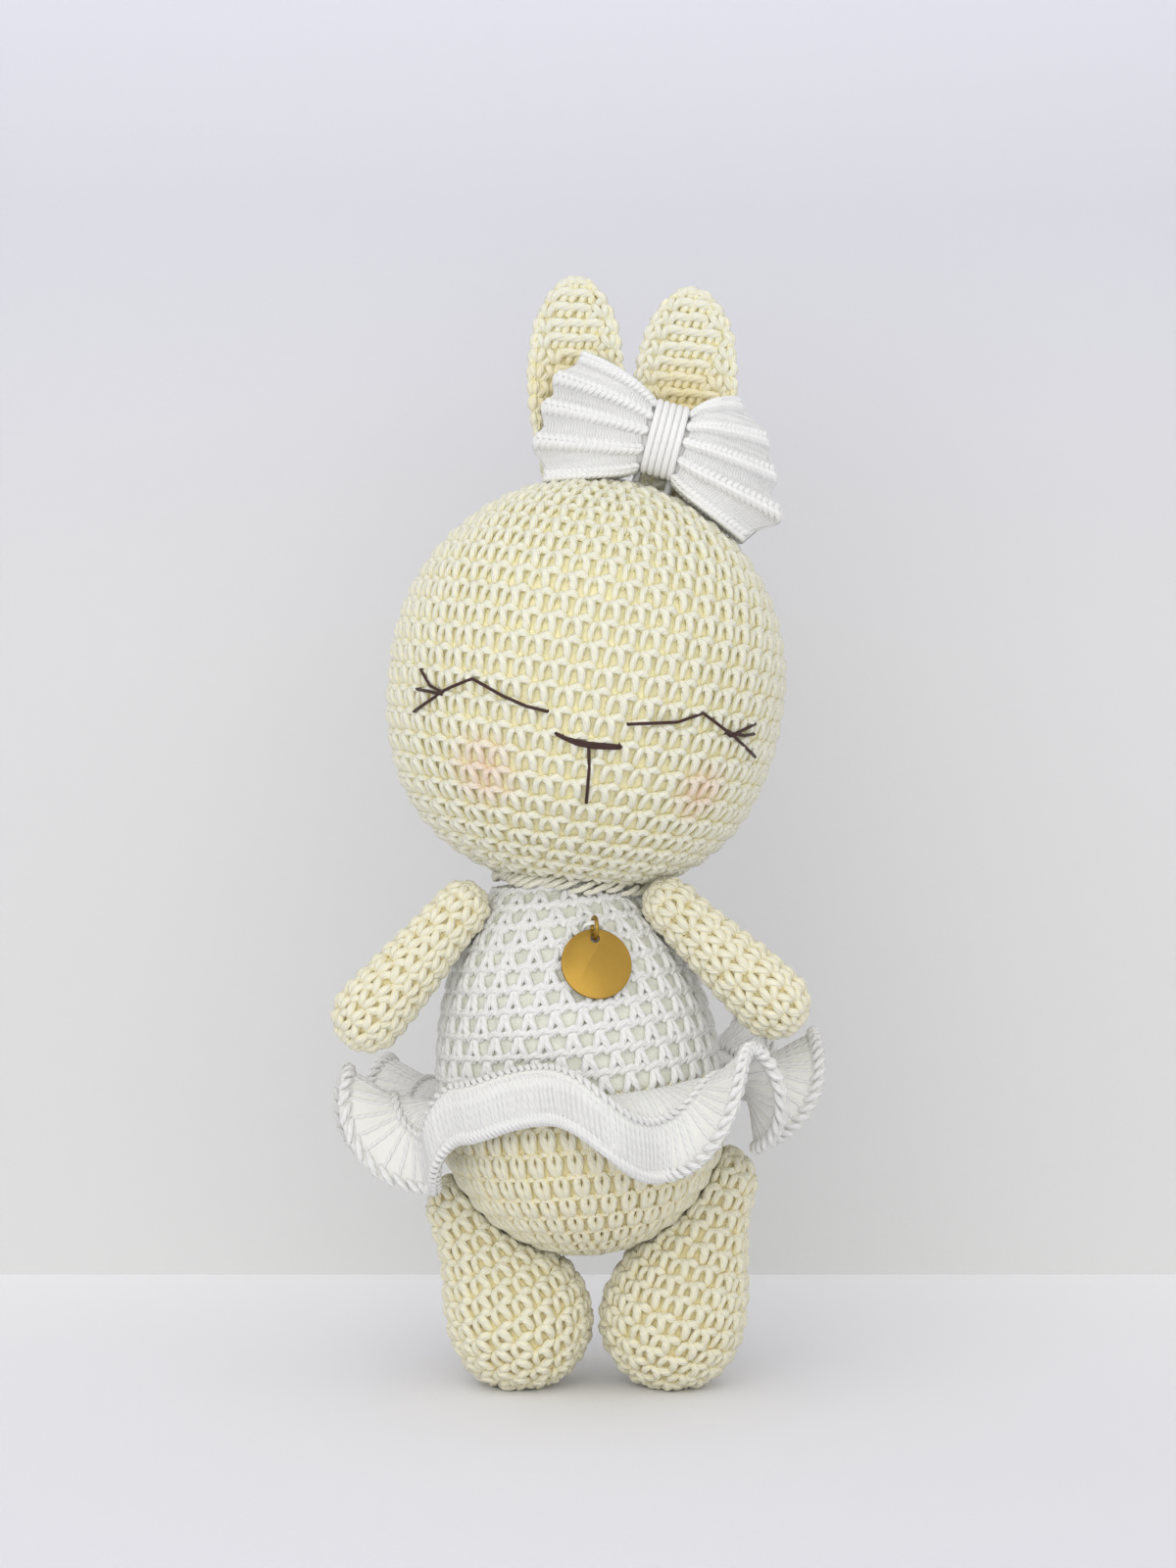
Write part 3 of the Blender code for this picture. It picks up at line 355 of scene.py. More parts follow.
def mark_painted_creases(mesh, threads, radius):
    """Stores how low each part of the yarn lies, 0 on top of the work and 1 down in it, as the mask of its
    painted crease tone (painted shade and bounce light).
    """
    points = [point for strand in threads for point in strand]
    places = np.empty(len(mesh.vertices) * 3)
    mesh.vertices.foreach_get("co", places)
    caps = sum(len(face.vertices) for face in mesh.polygons if len(face.vertices) == 3) // 3
    sides = (len(mesh.polygons) - caps) // sum(len(strand) - 1 for strand in threads)
    places = places.reshape(-1, 3)[-len(points) * sides:].reshape(len(points), sides, 3)
    spots = np.array([tuple(point[0]) for point in points])[:, None]
    outward = np.array([tuple(point[3]) for point in points])[:, None]
    lifts = np.array([point[2] for point in points])[:, None]
    if np.linalg.norm(places - spots, axis=2).max() > radius * 2:
        raise ValueError("The points of the yarn are not in the order of its strands")
    height = lifts + ((places - spots) * outward).sum(axis=2) / radius
    hollow = np.ones(len(mesh.vertices))
    hollow[-height.size:] = np.clip((1.2 - height.ravel()) / 1.6, 0, 1)
    mesh.attributes.new("PaintedCrease", "FLOAT", "POINT").data.foreach_set("value", hollow)


def lay_plies(mesh, threads):
    """Turns the texture's reach along each strand from a share of it into laps of the plies."""
    laps = [sum((after[0] - before[0]).length for before, after in zip(points, points[1:])) / LAP
            for points in threads]
    spans = [len(points) - 1 for points in threads]
    corners = np.empty(len(mesh.polygons), int)
    mesh.polygons.foreach_get("loop_total", corners)
    around = int((corners == 4).sum()) // sum(spans)
    stretch = np.repeat(laps, [span * around * 4 for span in spans])
    places = np.empty(len(mesh.loops) * 2)
    mesh.uv_layers[0].data.foreach_get("uv", places)
    places = places.reshape(-1, 2)
    places[len(places) - len(stretch):, 0] *= stretch  # the caps of the strands come first
    mesh.uv_layers[0].data.foreach_set("uv", places.ravel())


def yarn_piece(name, threads, radius, material, body, sides=1):
    """All the strands of a piece as one mesh of round, tapering, closed yarn."""
    curve = bpy.data.curves.new(name + "_path", "CURVE")
    curve.dimensions = "3D"
    curve.bevel_depth = radius
    curve.bevel_resolution = sides
    curve.use_fill_caps = True
    for points in threads:
        spline = curve.splines.new("POLY")
        spline.points.add(len(points) - 1)
        for target, (spot, thick, *_) in zip(spline.points, points):
            target.co = (*spot, 1.0)
            target.radius = thick
        spline.use_smooth = True
    carrier = bpy.data.objects.new(name + "_path", curve)
    bpy.context.scene.collection.objects.link(carrier)
    bpy.context.view_layer.update()
    mesh = bpy.data.meshes.new_from_object(carrier.evaluated_get(bpy.context.evaluated_depsgraph_get()))
    bpy.data.objects.remove(carrier, do_unlink=True)
    bpy.data.curves.remove(curve)
    mesh.name = name
    lay_plies(mesh, threads)
    # Strands laid with a lift get the mask where their painted crease tone goes
    if len(threads[0][0]) == 4:
        mark_painted_creases(mesh, threads, radius)
    mesh.shade_smooth()
    mesh.materials.clear()
    return placed(mesh, material, body)


def mesh_piece(name, bm, material, body, smooth=True):
    """The faces of a bmesh, normals out, as a piece."""
    bmesh.ops.recalc_face_normals(bm, faces=bm.faces)
    mesh = bpy.data.meshes.new(name)
    bm.to_mesh(mesh)
    bm.free()
    if smooth:
        mesh.shade_smooth()
    return placed(mesh, material, body)


def placed(mesh, material, body):
    """Puts a mesh in the scene in its material and lets it ride on its body."""
    mesh.materials.append(material)
    piece = bpy.data.objects.new(mesh.name, mesh)
    bpy.context.scene.collection.objects.link(piece)
    if body:
        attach(piece, body)
    return piece


def loft(rings, way_closed=False):
    """A bmesh skin pulled through closed rings of points by extruding the first one."""
    bm = bmesh.new()
    count = len(rings[0])
    made = bmesh.ops.create_circle(bm, cap_ends=not way_closed, segments=count, radius=MM)
    loop = list(made["verts"])
    for vert, point in zip(loop, rings[0]):
        vert.co = point
    first = loop
    for ring in rings[1:]:
        edges = [bm.edges.get((loop[i], loop[(i + 1) % count])) for i in range(count)]
        grown = bmesh.ops.extrude_edge_only(bm, edges=edges)["geom"]
        fresh = {item for item in grown if isinstance(item, bmesh.types.BMVert)}
        loop = [next(e.other_vert(v) for e in v.link_edges if e.other_vert(v) in fresh) for v in loop]
        for vert, point in zip(loop, ring):
            vert.co = point
    edges = [bm.edges.get((loop[i], loop[(i + 1) % count])) for i in range(count)]
    if way_closed:
        edges += [bm.edges.get((first[i], first[(i + 1) % count])) for i in range(count)]
        bmesh.ops.bridge_loops(bm, edges=edges)
    else:
        bmesh.ops.contextual_create(bm, geom=edges)
    bmesh.ops.remove_doubles(bm, verts=bm.verts, dist=0.00001)
    return bm


def group_for(name, inputs, outputs):
    """A new node group with named sockets, and its first and last node."""
    group = bpy.data.node_groups.new(name, "ShaderNodeTree")
    for title, kind, value in inputs:
        socket = group.interface.new_socket(title, in_out="INPUT", socket_type=kind)
        if value is not None:
            socket.default_value = value
    for title, kind in outputs:
        group.interface.new_socket(title, in_out="OUTPUT", socket_type=kind)
    return group, group.nodes.new("NodeGroupInput"), group.nodes.new("NodeGroupOutput")


def math_node(tree, operation, first, second=None, clamp=False):
    node = tree.nodes.new("ShaderNodeMath")
    node.operation = operation
    node.use_clamp = clamp
    for socket, value in zip(node.inputs, (first, second)):
        if isinstance(value, (int, float)):
            socket.default_value = value
        elif value is not None:
            tree.links.new(value, socket)
    return node.outputs[0]


def noise_node(tree, vector, scale, detail=2.0):
    node = tree.nodes.new("ShaderNodeTexNoise")
    node.inputs["Scale"].default_value = scale
    node.inputs["Detail"].default_value = detail
    tree.links.new(vector, node.inputs["Vector"])
    return node.outputs["Fac"]


def mix_colour(tree, factor, first, second, blend="MIX"):
    node = tree.nodes.new("ShaderNodeMix")
    node.data_type = "RGBA"
    node.blend_type = blend
    for socket, value in ((node.inputs[0], factor), (node.inputs[6], first), (node.inputs[7], second)):
        if isinstance(value, bpy.types.NodeSocket):
            tree.links.new(value, socket)
        else:
            socket.default_value = value
    return node.outputs[2]


def plied_group():
    """Plies wound round a strand, with fine fuzz over them; Depth is the share of the painted crease tone,
    painted shade in the ply grooves and down between the strands.
    """
    found = bpy.data.node_groups.get("Plied yarn")
    if found:
        return found
    group, start, end = group_for(
        "Plied yarn",
        (("UV", "NodeSocketVector", None), ("Object", "NodeSocketVector", None),
         ("PaintedCrease", "NodeSocketFloat", 0.0), ("Plies", "NodeSocketFloat", 7.0),
         ("Twist", "NodeSocketFloat", 0.5), ("Mottle", "NodeSocketFloat", 0.10)),
        (("Height", "NodeSocketFloat"), ("Tone", "NodeSocketFloat"), ("Depth", "NodeSocketFloat")))
    apart = group.nodes.new("ShaderNodeSeparateXYZ")
    group.links.new(start.outputs["UV"], apart.inputs[0])
    turn = math_node(group, "MULTIPLY", apart.outputs["X"], start.outputs["Twist"])
    turn = math_node(group, "ADD", turn, apart.outputs["Y"])
    wave = math_node(group, "MULTIPLY", turn, start.outputs["Plies"])
    ply = math_node(group, "ABSOLUTE", math_node(group, "SINE", math_node(group, "MULTIPLY", wave, math.pi)))
    fuzz = noise_node(group, start.outputs["Object"], 5200.0, 3.0)
    height = math_node(group, "ADD", ply, math_node(group, "MULTIPLY", fuzz, 0.30))
    group.links.new(height, end.inputs["Height"])
    broad = noise_node(group, start.outputs["Object"], 260.0, 3.0)
    tone = math_node(group, "MULTIPLY", math_node(group, "SUBTRACT", broad, 0.5), start.outputs["Mottle"])
    group.links.new(math_node(group, "ADD", tone, 1.0), end.inputs["Tone"])
    # Painted shade: the grooves between the plies, added to the painted crease mask, turn the yarn towards
    # its painted crease tone through Depth
    groove = math_node(group, "MULTIPLY", math_node(group, "SUBTRACT", 1.0, ply, clamp=True), 0.55)
    group.links.new(math_node(group, "ADD", groove, start.outputs["PaintedCrease"], clamp=True), end.inputs["Depth"])
    return group


def spot_group():
    """A soft round patch about a place: 1 in the middle and 0 outside."""
    found = bpy.data.node_groups.get("Soft patch")
    if found:
        return found
    group, start, end = group_for(
        "Soft patch",
        (("Object", "NodeSocketVector", None), ("Centre", "NodeSocketVector", None),
         ("Radius", "NodeSocketFloat", 0.006)),
        (("Mask", "NodeSocketFloat"),))
    apart = group.nodes.new("ShaderNodeVectorMath")
    apart.operation = "DISTANCE"
    group.links.new(start.outputs["Object"], apart.inputs[0])
    group.links.new(start.outputs["Centre"], apart.inputs[1])
    share = math_node(group, "DIVIDE", apart.outputs["Value"], start.outputs["Radius"])
    fade = math_node(group, "SUBTRACT", 1.25, share, clamp=True)
    speckle = noise_node(group, start.outputs["Object"], 420.0, 2.0)
    speckle = math_node(group, "ADD", math_node(group, "MULTIPLY", speckle, 0.7), 0.65)
    group.links.new(math_node(group, "MULTIPLY", fade, speckle, clamp=True), end.inputs["Mask"])
    return group


def new_material(name, colour, roughness):
    material = bpy.data.materials.new(name)
    material.use_nodes = True
    shader = material.node_tree.nodes["Principled BSDF"]
    shader.inputs["Base Color"].default_value = (*colour, 1)
    shader.inputs["Roughness"].default_value = roughness
    material.diffuse_color = (*colour, 1)
    return material, material.node_tree, shader


def bump(tree, shader, height, distance, strength=1.0):
    node = tree.nodes.new("ShaderNodeBump")
    node.inputs["Distance"].default_value = distance
    node.inputs["Strength"].default_value = strength
    tree.links.new(height, node.inputs["Height"])
    tree.links.new(node.outputs["Normal"], shader.inputs["Normal"])


def yarn_material(name, colour, crease_tone, plies=6.0, twist=1.0, depth=0.10 * MM, patches=()):
    """Mercerised cotton: plies, a soft sheen, small changes of tone and a painted crease tone (painted shade
    and bounce light) in its ply grooves and creases.
    """
    found = bpy.data.materials.get(name)
    if found:
        return found
    material, tree, shader = new_material(name, colour, 0.5)
    shader.inputs["Sheen Weight"].default_value = 0.05
    shader.inputs["Specular IOR Level"].default_value = 0.3
    place = tree.nodes.new("ShaderNodeTexCoord")
    node = tree.nodes.new("ShaderNodeGroup")
    node.node_tree = plied_group()
    tree.links.new(place.outputs["UV"], node.inputs["UV"])
    tree.links.new(place.outputs["Object"], node.inputs["Object"])
    node.inputs["Plies"].default_value = plies
    node.inputs["Twist"].default_value = twist
    hollow = tree.nodes.new("ShaderNodeAttribute")
    hollow.attribute_name = "PaintedCrease"
    tree.links.new(hollow.outputs["Fac"], node.inputs["PaintedCrease"])
    # Painted shade and bounce light: in the ply grooves and down between the strands the yarn turns to its
    # crease tone, lighter and yellower on the pale yarns, darker on the face and joint threads
    base = mix_colour(tree, node.outputs["Depth"], (*colour, 1), (*crease_tone, 1))
    for centre, radius, tint, weight in patches:
        patch = tree.nodes.new("ShaderNodeGroup")
        patch.node_tree = spot_group()
        tree.links.new(place.outputs["Object"], patch.inputs["Object"])
        patch.inputs["Centre"].default_value = centre
        patch.inputs["Radius"].default_value = radius
        share = math_node(tree, "MULTIPLY", patch.outputs["Mask"], weight)
        base = mix_colour(tree, share, base, (*tint, 1))
    toned = mix_colour(tree, 1.0, base, node.outputs["Tone"], "MULTIPLY")
    tree.links.new(toned, shader.inputs["Base Color"])
    bump(tree, shader, node.outputs["Height"], depth)
    return material


def fibre_material(name, colour):
    """Loose fibre: soft clumps and fine hairs."""
    found = bpy.data.materials.get(name)
    if found:
        return found
    material, tree, shader = new_material(name, colour, 0.95)
    shader.inputs["Sheen Weight"].default_value = 0.3
    place = tree.nodes.new("ShaderNodeTexCoord")
    clump = noise_node(tree, place.outputs["Object"], 420.0, 4.0)
    hairs = noise_node(tree, place.outputs["Object"], 3200.0, 4.0)
    tone = math_node(tree, "ADD", math_node(tree, "MULTIPLY", clump, 0.5), 0.75)
    tree.links.new(mix_colour(tree, 1.0, (*colour, 1), tone, "MULTIPLY"), shader.inputs["Base Color"])
    height = math_node(tree, "ADD", clump, math_node(tree, "MULTIPLY", hairs, 0.4))
    bump(tree, shader, height, 0.5 * MM)
    return material


def gold_material():
    material, tree, shader = new_material("gold_plate", GOLD, 0.24)
    shader.inputs["Metallic"].default_value = 1.0
    place = tree.nodes.new("ShaderNodeTexCoord")
    cloudy = noise_node(tree, place.outputs["Object"], 350.0, 3.0)
    grain = noise_node(tree, place.outputs["Object"], 4000.0, 3.0)
    rough = math_node(tree, "ADD", math_node(tree, "MULTIPLY", cloudy, 0.06), 0.26)
    tree.links.new(rough, shader.inputs["Roughness"])
    tone = math_node(tree, "ADD", math_node(tree, "MULTIPLY", cloudy, 0.2), 0.9)
    tree.links.new(mix_colour(tree, 1.0, (*GOLD, 1), tone, "MULTIPLY"), shader.inputs["Base Color"])
    bump(tree, shader, grain, 0.01 * MM)
    return material


def cream_material():
    yarn, body, _ = settings()
    matrix = head_matrix()
    patches = []
    for x, z, radius in ((-0.398, -0.521, 6.6 * MM), (0.596, -0.473, 5.4 * MM)):
        side = body.head_radius * x
        rise = body.head_radius * z
        front = math.sqrt(max(body.head_radius**2 - side**2 - rise**2, 0.0))
        patches.append((tuple(matrix @ Vector((side, -front, rise))), radius, tuple(yarn.blush), 0.5))
    # Painted shade: a darker yellow patch fills each ear's cup; the two patches above are the real blush
    for side in EAR_SIZES:
        hollow = ear_matrix(side) @ Vector((0, -7.0 * MM, EAR_SIZES[side][1] * 0.42))
        patches.append((tuple(hollow), 9.2 * MM, (0.82, 0.69, 0.34), 1.0))
    # The second colour is the painted crease tone: painted shade and bounce light, lighter and yellower than
    # the yarn
    return yarn_material("cream_yarn_plied", tuple(yarn.cream), (0.92, 0.86, 0.52), patches=patches)


def limb_material():
    # The second colour is the painted crease tone: painted shade and bounce light, lighter and yellower than
    # the yarn
    return yarn_material("limb_yarn_plied", tuple(settings()[0].limb), (0.93, 0.84, 0.50))


def white_material():
    # The second colour is the painted crease tone: painted bounce light, lighter than the yarn in its creases
    return yarn_material("white_yarn_plied", tuple(settings()[0].white), (0.88, 0.875, 0.82))


# Painted light: the bow's yarn is a brighter copy of the white yarn, to make up for the weaker light on the
# bow
def brightened_bow_material():
    return yarn_material("bow_yarn_painted_brighter", (0.86, 0.858, 0.85), (0.92, 0.915, 0.87))


def cloth_material(name, shade):
    """The close fabric that lies between the stitches of the frill and the bow."""
    return yarn_material(name, shade, shade)


class DOLL_OT_head(bpy.types.Operator):
    """Works the head in rounds over its filling"""

    bl_idname = "doll.head"
    bl_label = "Head"

    def execute(self, context):
        yarn, body, _ = settings()
        matrix = head_matrix()
        rng = random.Random(SEED)
        work = Work(turned_rings(matrix, head_profile()))
        bed = -body.bed
        rows = []
        for index, (up, tall, count) in enumerate(reversed(even_rows(work, 4.07 * MM, 4.7 * MM, step=6))):
            rows.append((up, tall, min(count, 6 * (index + 1), 48)))
        threads = []
        work_rounds(threads, work, rows[::-1], HEAD_STITCH, yarn.head_radius, rng, bed)
        piece = yarn_piece("head_stitches", threads, yarn.head_radius, cream_material(), "head")
        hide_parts("head_skin")
        rings = turned_rings(matrix, head_profile(-body.fill_depth, start=0.06)[:-1])
        filling = mesh_piece(
            "head_filling", loft(rings), fibre_material("head_fibre", tuple(yarn.filling)), "head")
        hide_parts("head_stuffing")
        return {"FINISHED"}


EAR_SIZES = {
    "left": (-0.217, 38.0 * MM, 17.6 * MM, math.radians(-9.0)),
    "right": (0.300, 39.8 * MM, 19.2 * MM, math.radians(-4.0)),
}
# Height, width, cup and thickness shares of each ear, from its base to its tip
EAR_LEVELS = (
    (-0.06, 0.64, 0.88, 0.95), (0.08, 0.73, 0.98, 1.00), (0.22, 0.86, 1.00, 1.00),
    (0.37, 0.97, 0.96, 1.00), (0.52, 1.00, 0.82, 0.99), (0.66, 0.94, 0.60, 0.95),
    (0.78, 0.84, 0.42, 0.89), (0.87, 0.69, 0.26, 0.80), (0.94, 0.48, 0.14, 0.65),
    (0.98, 0.28, 0.06, 0.42), (1.00, 0.10, 0.02, 0.20),
)


def ear_matrix(side):
    """A frame at the middle of the ear's base with its Z along the ear."""
    share, _, _, lean = EAR_SIZES[side]
    radius = settings()[1].head_radius
    top = radius * CROWN_SHARE * math.sqrt(1 - share**2 - EAR_BACK**2)
    place = Matrix.Translation((radius * share, radius * EAR_BACK, top))
    return head_matrix() @ place @ Matrix.Rotation(lean, 4, "Y")


def ear_rings(side, lift):
    _, length, width, _ = EAR_SIZES[side]
    matrix = ear_matrix(side)
    rings = []
    for height, wide, cup, thick in EAR_LEVELS:
        ring = []
        for step in range(RING_POINTS * 2):
            turn = math.tau * step / (RING_POINTS * 2)
            x = max(width * wide / 2 + lift, 0.2 * MM) * math.sin(turn)
            y = -max(EAR_DEPTH * thick + lift, 0.2 * MM) * math.cos(turn)
            y -= EAR_CUP * cup * math.sin(turn) ** 2
            ring.append(matrix @ Vector((x, y, length * height + lift * max(height, 0))))
        rings.append(ring)
    return even_rings(rings)


class DOLL_OT_ears(bpy.types.Operator):
    """Works the two cupped ears on the crown"""

    bl_idname = "doll.ears"
    bl_label = "Ears"

    def execute(self, context):
        yarn, body, _ = settings()
        for side in EAR_SIZES:
            rng = random.Random(SEED)
            work = Work(ear_rings(side, 0.0))
            threads = []
            rows = even_rows(work, 2.95 * MM, 3.1 * MM, start=0.3 * MM)
            stitches = (
                (EAR_RIDGE, lambda share: abs(share - 0.5) > 0.39),
                (ARM_STITCH, lambda share: abs(share - 0.5) <= 0.39))
            for pattern, keep in stitches:
                work_rounds(
                    threads, work, rows, pattern, yarn.belly_radius, rng, -body.bed, keep=keep, lean=0.2,
                    loose=0.06)
            piece = yarn_piece(f"ear_{side}_stitches", threads, yarn.belly_radius, cream_material(), "head")
            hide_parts(f"ear_{side}")
            lining = mesh_piece(
                f"ear_{side}_lining", loft(ear_rings(side, -1.1 * MM)),
                fibre_material("head_fibre", tuple(yarn.filling)), "head")
        return {"FINISHED"}


class DOLL_OT_torso(bpy.types.Operator):
    """Works the belly and the open bodice over the body's filling"""

    bl_idname = "doll.torso"
    bl_label = "Torso"

    def execute(self, context):
        yarn, body, _ = settings()
        matrix = torso_matrix()
        rng = random.Random(SEED)
        low = Work(turned_rings(matrix, torso_profile(-body.torso_radius, body.waist_rise)))
        threads = []
        rows = even_rows(low, 4.4 * MM, 3.6 * MM, start=1.0 * MM)
        work_rounds(threads, low, rows, BELLY_STITCH, yarn.belly_radius, rng, -body.bed, lean=-0.22)
        belly = yarn_piece("belly_stitches", threads, yarn.belly_radius, limb_material(), "torso")
        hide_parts("belly_skin")
        high = Work(turned_rings(matrix, torso_profile(body.waist_rise, NECK_TOP)))
        threads = []
        rows = even_rows(high, 3.9 * MM, 4.9 * MM)
        work_rounds(threads, high, rows, BODICE_STITCH, yarn.bodice_radius, rng, -body.bed, lean=0.48)
        bodice = yarn_piece("bodice_stitches", threads, yarn.bodice_radius, white_material(), "torso")
        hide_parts("bodice_skin")
        depth = body.fill_depth
        rings = turned_rings(matrix, torso_profile(-body.torso_radius + 1.6 * MM, body.waist_rise, -depth))
        lower = mesh_piece(
            "belly_filling", loft(rings), fibre_material("limb_fibre", tuple(yarn.limb_filling)), "torso")
        rings = turned_rings(matrix, torso_profile(body.waist_rise, NECK_TOP + 0.4 * MM, -depth))
        filling = mesh_piece(
            "bodice_filling", loft(rings), fibre_material("body_fibre", tuple(yarn.body_filling)), "torso")
        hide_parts("body_stuffing")
        return {"FINISHED"}


def hinge_frame(joint):
    """The place and the outward axis of a limb's joint thread."""
    place, axis = joint_line(joint)
    outward = axis if axis.x * place.x > 0 else -axis
    return place, outward


def axis_matrix(root, end):
    """A frame at the root with its Z away from the end."""
    up = (root - end).normalized()
    side = (Vector((1, 0, 0)) - up * up.x).normalized()
    matrix = Matrix((side, up.cross(side), up)).transposed().to_4x4()
    return Matrix.Translation(root) @ matrix


def limb_pieces(name, matrix, sizes, cell, pattern, lean, press):
    """Stitches and filling of one limb."""
    yarn, body, _ = settings()
    rng = random.Random(SEED)
    work = Work(turned_rings(matrix, limb_profile(*sizes)))
    threads = []
    rows = even_rows(work, cell[1], cell[0], start=0.6 * MM)
    work_rounds(
        threads, work, rows, pattern, yarn.limb_radius, rng, -body.bed, press=press, lean=lean, loose=0.08)
    piece = yarn_piece(name + "_stitches", threads, yarn.limb_radius, limb_material(), name)
    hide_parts(name + "_skin")
    rings = turned_rings(matrix, limb_profile(*sizes, -body.fill_depth)[1:-1], 40)
    bm = loft(rings)
    for vert in bm.verts:
        vert.co = press(vert.co, 0.5 * MM)
    filling = mesh_piece(
        name + "_filling", bm, fibre_material("limb_fibre", tuple(yarn.limb_filling)), name)
    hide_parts(name + "_stuffing")


class DOLL_OT_arms(bpy.types.Operator):
    """Works the two arms, flat where they lie against the shoulders"""

    bl_idname = "doll.arms"
    bl_label = "Arms"

    def execute(self, context):
        for side, splay in (("left", math.radians(-41.0)), ("right", math.radians(47.0))):
            place, outward = hinge_frame(f"arm_{side}_swing")
            down = Vector((math.sin(splay), -math.tan(math.radians(7.0)), -math.cos(splay))).normalized()
            root = place + outward * 4.5 * MM
            matrix = axis_matrix(root, root + down)

            def press(spot, thick):
                height = (spot - place).dot(outward) - thick
                return spot - outward * min(height, 0.0)

            sizes = (4.7 * MM, 6.3 * MM, 25.2 * MM)
            limb_pieces(f"arm_{side}", matrix, sizes, (3.8 * MM, 3.2 * MM), ARM_STITCH, 0.14, press)
        return {"FINISHED"}


class DOLL_OT_legs(bpy.types.Operator):
    """Works the two legs, hollowed where they lie against the belly and flat under the feet"""

    bl_idname = "doll.legs"
    bl_label = "Legs"

    def execute(self, context):
        body = settings()[1]
        centre = torso_matrix().translation
        for side, foot_x in (("left", -10.6 * MM), ("right", 17.2 * MM)):
            place, outward = hinge_frame(f"leg_{side}_swing")
            root = place + outward * 2.4 * MM
            foot = Vector((foot_x, -0.6 * MM, 12.4 * MM))
            matrix = axis_matrix(root, foot)

            def press(spot, thick):
                away = spot - centre
                reach = body.torso_radius + 0.1 * MM + thick
                if away.length < reach:
                    spot = centre + away.normalized() * reach
                return Vector((spot.x, spot.y, max(spot.z, thick)))

            sizes = (6.2 * MM, 12.9 * MM, (root - foot).length)
            limb_pieces(f"leg_{side}", matrix, sizes, (4.5 * MM, 3.5 * MM), HEAD_STITCH, 0.43, press)
        return {"FINISHED"}


# Direction round the waist from +X towards the front, and angle of each row, in degrees
FRILL_FOLDS = (
    (4, 8, 24), (27, -30, -92), (45, 10, 32), (67, -44, -97), (103, 85, -96),
    (129, 48, -100), (151, -46, -98), (168, 13, 40), (188, -40, -86), (211, 11, 30),
    (234, -36, -92), (251, 6, -78), (267, -42, -94), (283, 6, -78), (300, -38, -92),
    (319, 11, 30), (342, -25, -78),
)


def eased(share):
    return (1 - math.cos(math.pi * min(max(share, 0.0), 1.0))) / 2


def frill_angles(degrees):
    """Angles of the two rows of the frill, eased between the folds."""
    degrees %= 360
    folds = [(FRILL_FOLDS[-1][0] - 360, *FRILL_FOLDS[-1][1:]), *FRILL_FOLDS]
    folds.append((FRILL_FOLDS[0][0] + 360, *FRILL_FOLDS[0][1:]))
    for (start, *low), (end, *high) in zip(folds, folds[1:]):
        if start <= degrees <= end:
            ease = eased((degrees - start) / (end - start))
            return [math.radians(a + (b - a) * ease) for a, b in zip(low, high)]
    raise ValueError("The folds leave a gap")


def frill_points(matrix, around, steps):
    """Middle of the fabric from the waist to the hem; around starts at the front."""
    inner, outer = frill_angles(90 - 360 * around)
    width = settings()[1].frill_width
    height = settings()[1].waist_rise
    radius = torso_profile(height, height, count=1)[0][0] + 0.3 * MM
    turn = around * math.tau
    points = []
    for step in range(steps + 1):
        out = step / steps
        if step:
            angle = inner + (outer - inner) * eased((out - 0.5 / steps - 0.24) / 0.34)
            radius += width / steps * math.cos(angle)
            height += width / steps * math.sin(angle)
        off = radius + SKIRT_STAND * min(out * 6, 1.0)
        points.append(matrix @ Vector((off * math.sin(turn), -off * math.cos(turn), height)))
    return points


class DOLL_OT_frill(bpy.types.Operator):
    """Works the gathered frill: two rounds of tall stitches and an edging"""

    bl_idname = "doll.frill"
    bl_label = "Frill"

    def execute(self, context):
        yarn = settings()[0]
        matrix = torso_matrix()
        rounds, around = 18, 360
        outs = [step / rounds for step in range(rounds + 1)]
        columns = [frill_points(matrix, step / around, rounds) for step in range(around)]
        work = Work(zip(*columns))
        width = work.length
        rng = random.Random(SEED)
        radius = yarn.frill_radius
        threads = []
        for low, high, pitch in ((0.02, 0.42, 1.15 * MM), (0.42, 0.89, 1.25 * MM)):
            count = round(work.girth((low + high) / 2 * width) / pitch)
            for index in range(count):
                start = (index + rng.uniform(-0.08, 0.08)) / count
                sway = rng.uniform(-0.3, 0.3) / count
                threads.append([
                    (work.point(start + sway * share, (low + (high - low) * share) * width), thick)
                    for share, thick in ((-0.04, 0.7), (0.2, 1.0), (0.5, 1.05), (0.8, 1.05), (1.04, 0.8))])
        for out, tall, pitch, size in ((0.42, 0.7, 1.4 * MM, 1.05), (0.94, 1.1, 1.45 * MM, 1.25)):
            count = round(work.girth(out * width) / pitch)
            for index in range(count):
                start = index / count
                for face in (-1, 1):
                    threads.append([
                        (work.point(start + across / count, out * width + rise * tall * MM, face * lift * MM),
                         thick * size)
                        for across, rise, lift, thick in (
                            (-0.60, -0.90, 0.10, 0.65), (-0.20, -0.30, 0.66, 0.98),
                            (0.25, 0.40, 0.66, 0.98), (0.60, 0.95, 0.05, 0.65))])
        piece = yarn_piece("frill_stitches", threads, radius, white_material(), "torso")
        steps, half = 240, 0.25 * MM
        loops = []
        for step in range(steps):
            upper = [work.point(step / steps, out * width, half) for out in outs]
            lower = [work.point(step / steps, out * width, -half) for out in reversed(outs)]
            loops.append(upper + lower)
        cloth = cloth_material("frill_cloth", (0.76, 0.757, 0.715))
        sheet = mesh_piece("frill_fabric", loft(loops, way_closed=True), cloth, "torso")
        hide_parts("skirt_ruffle")
        hem = work.girth(width * 0.98)
        return {"FINISHED"}


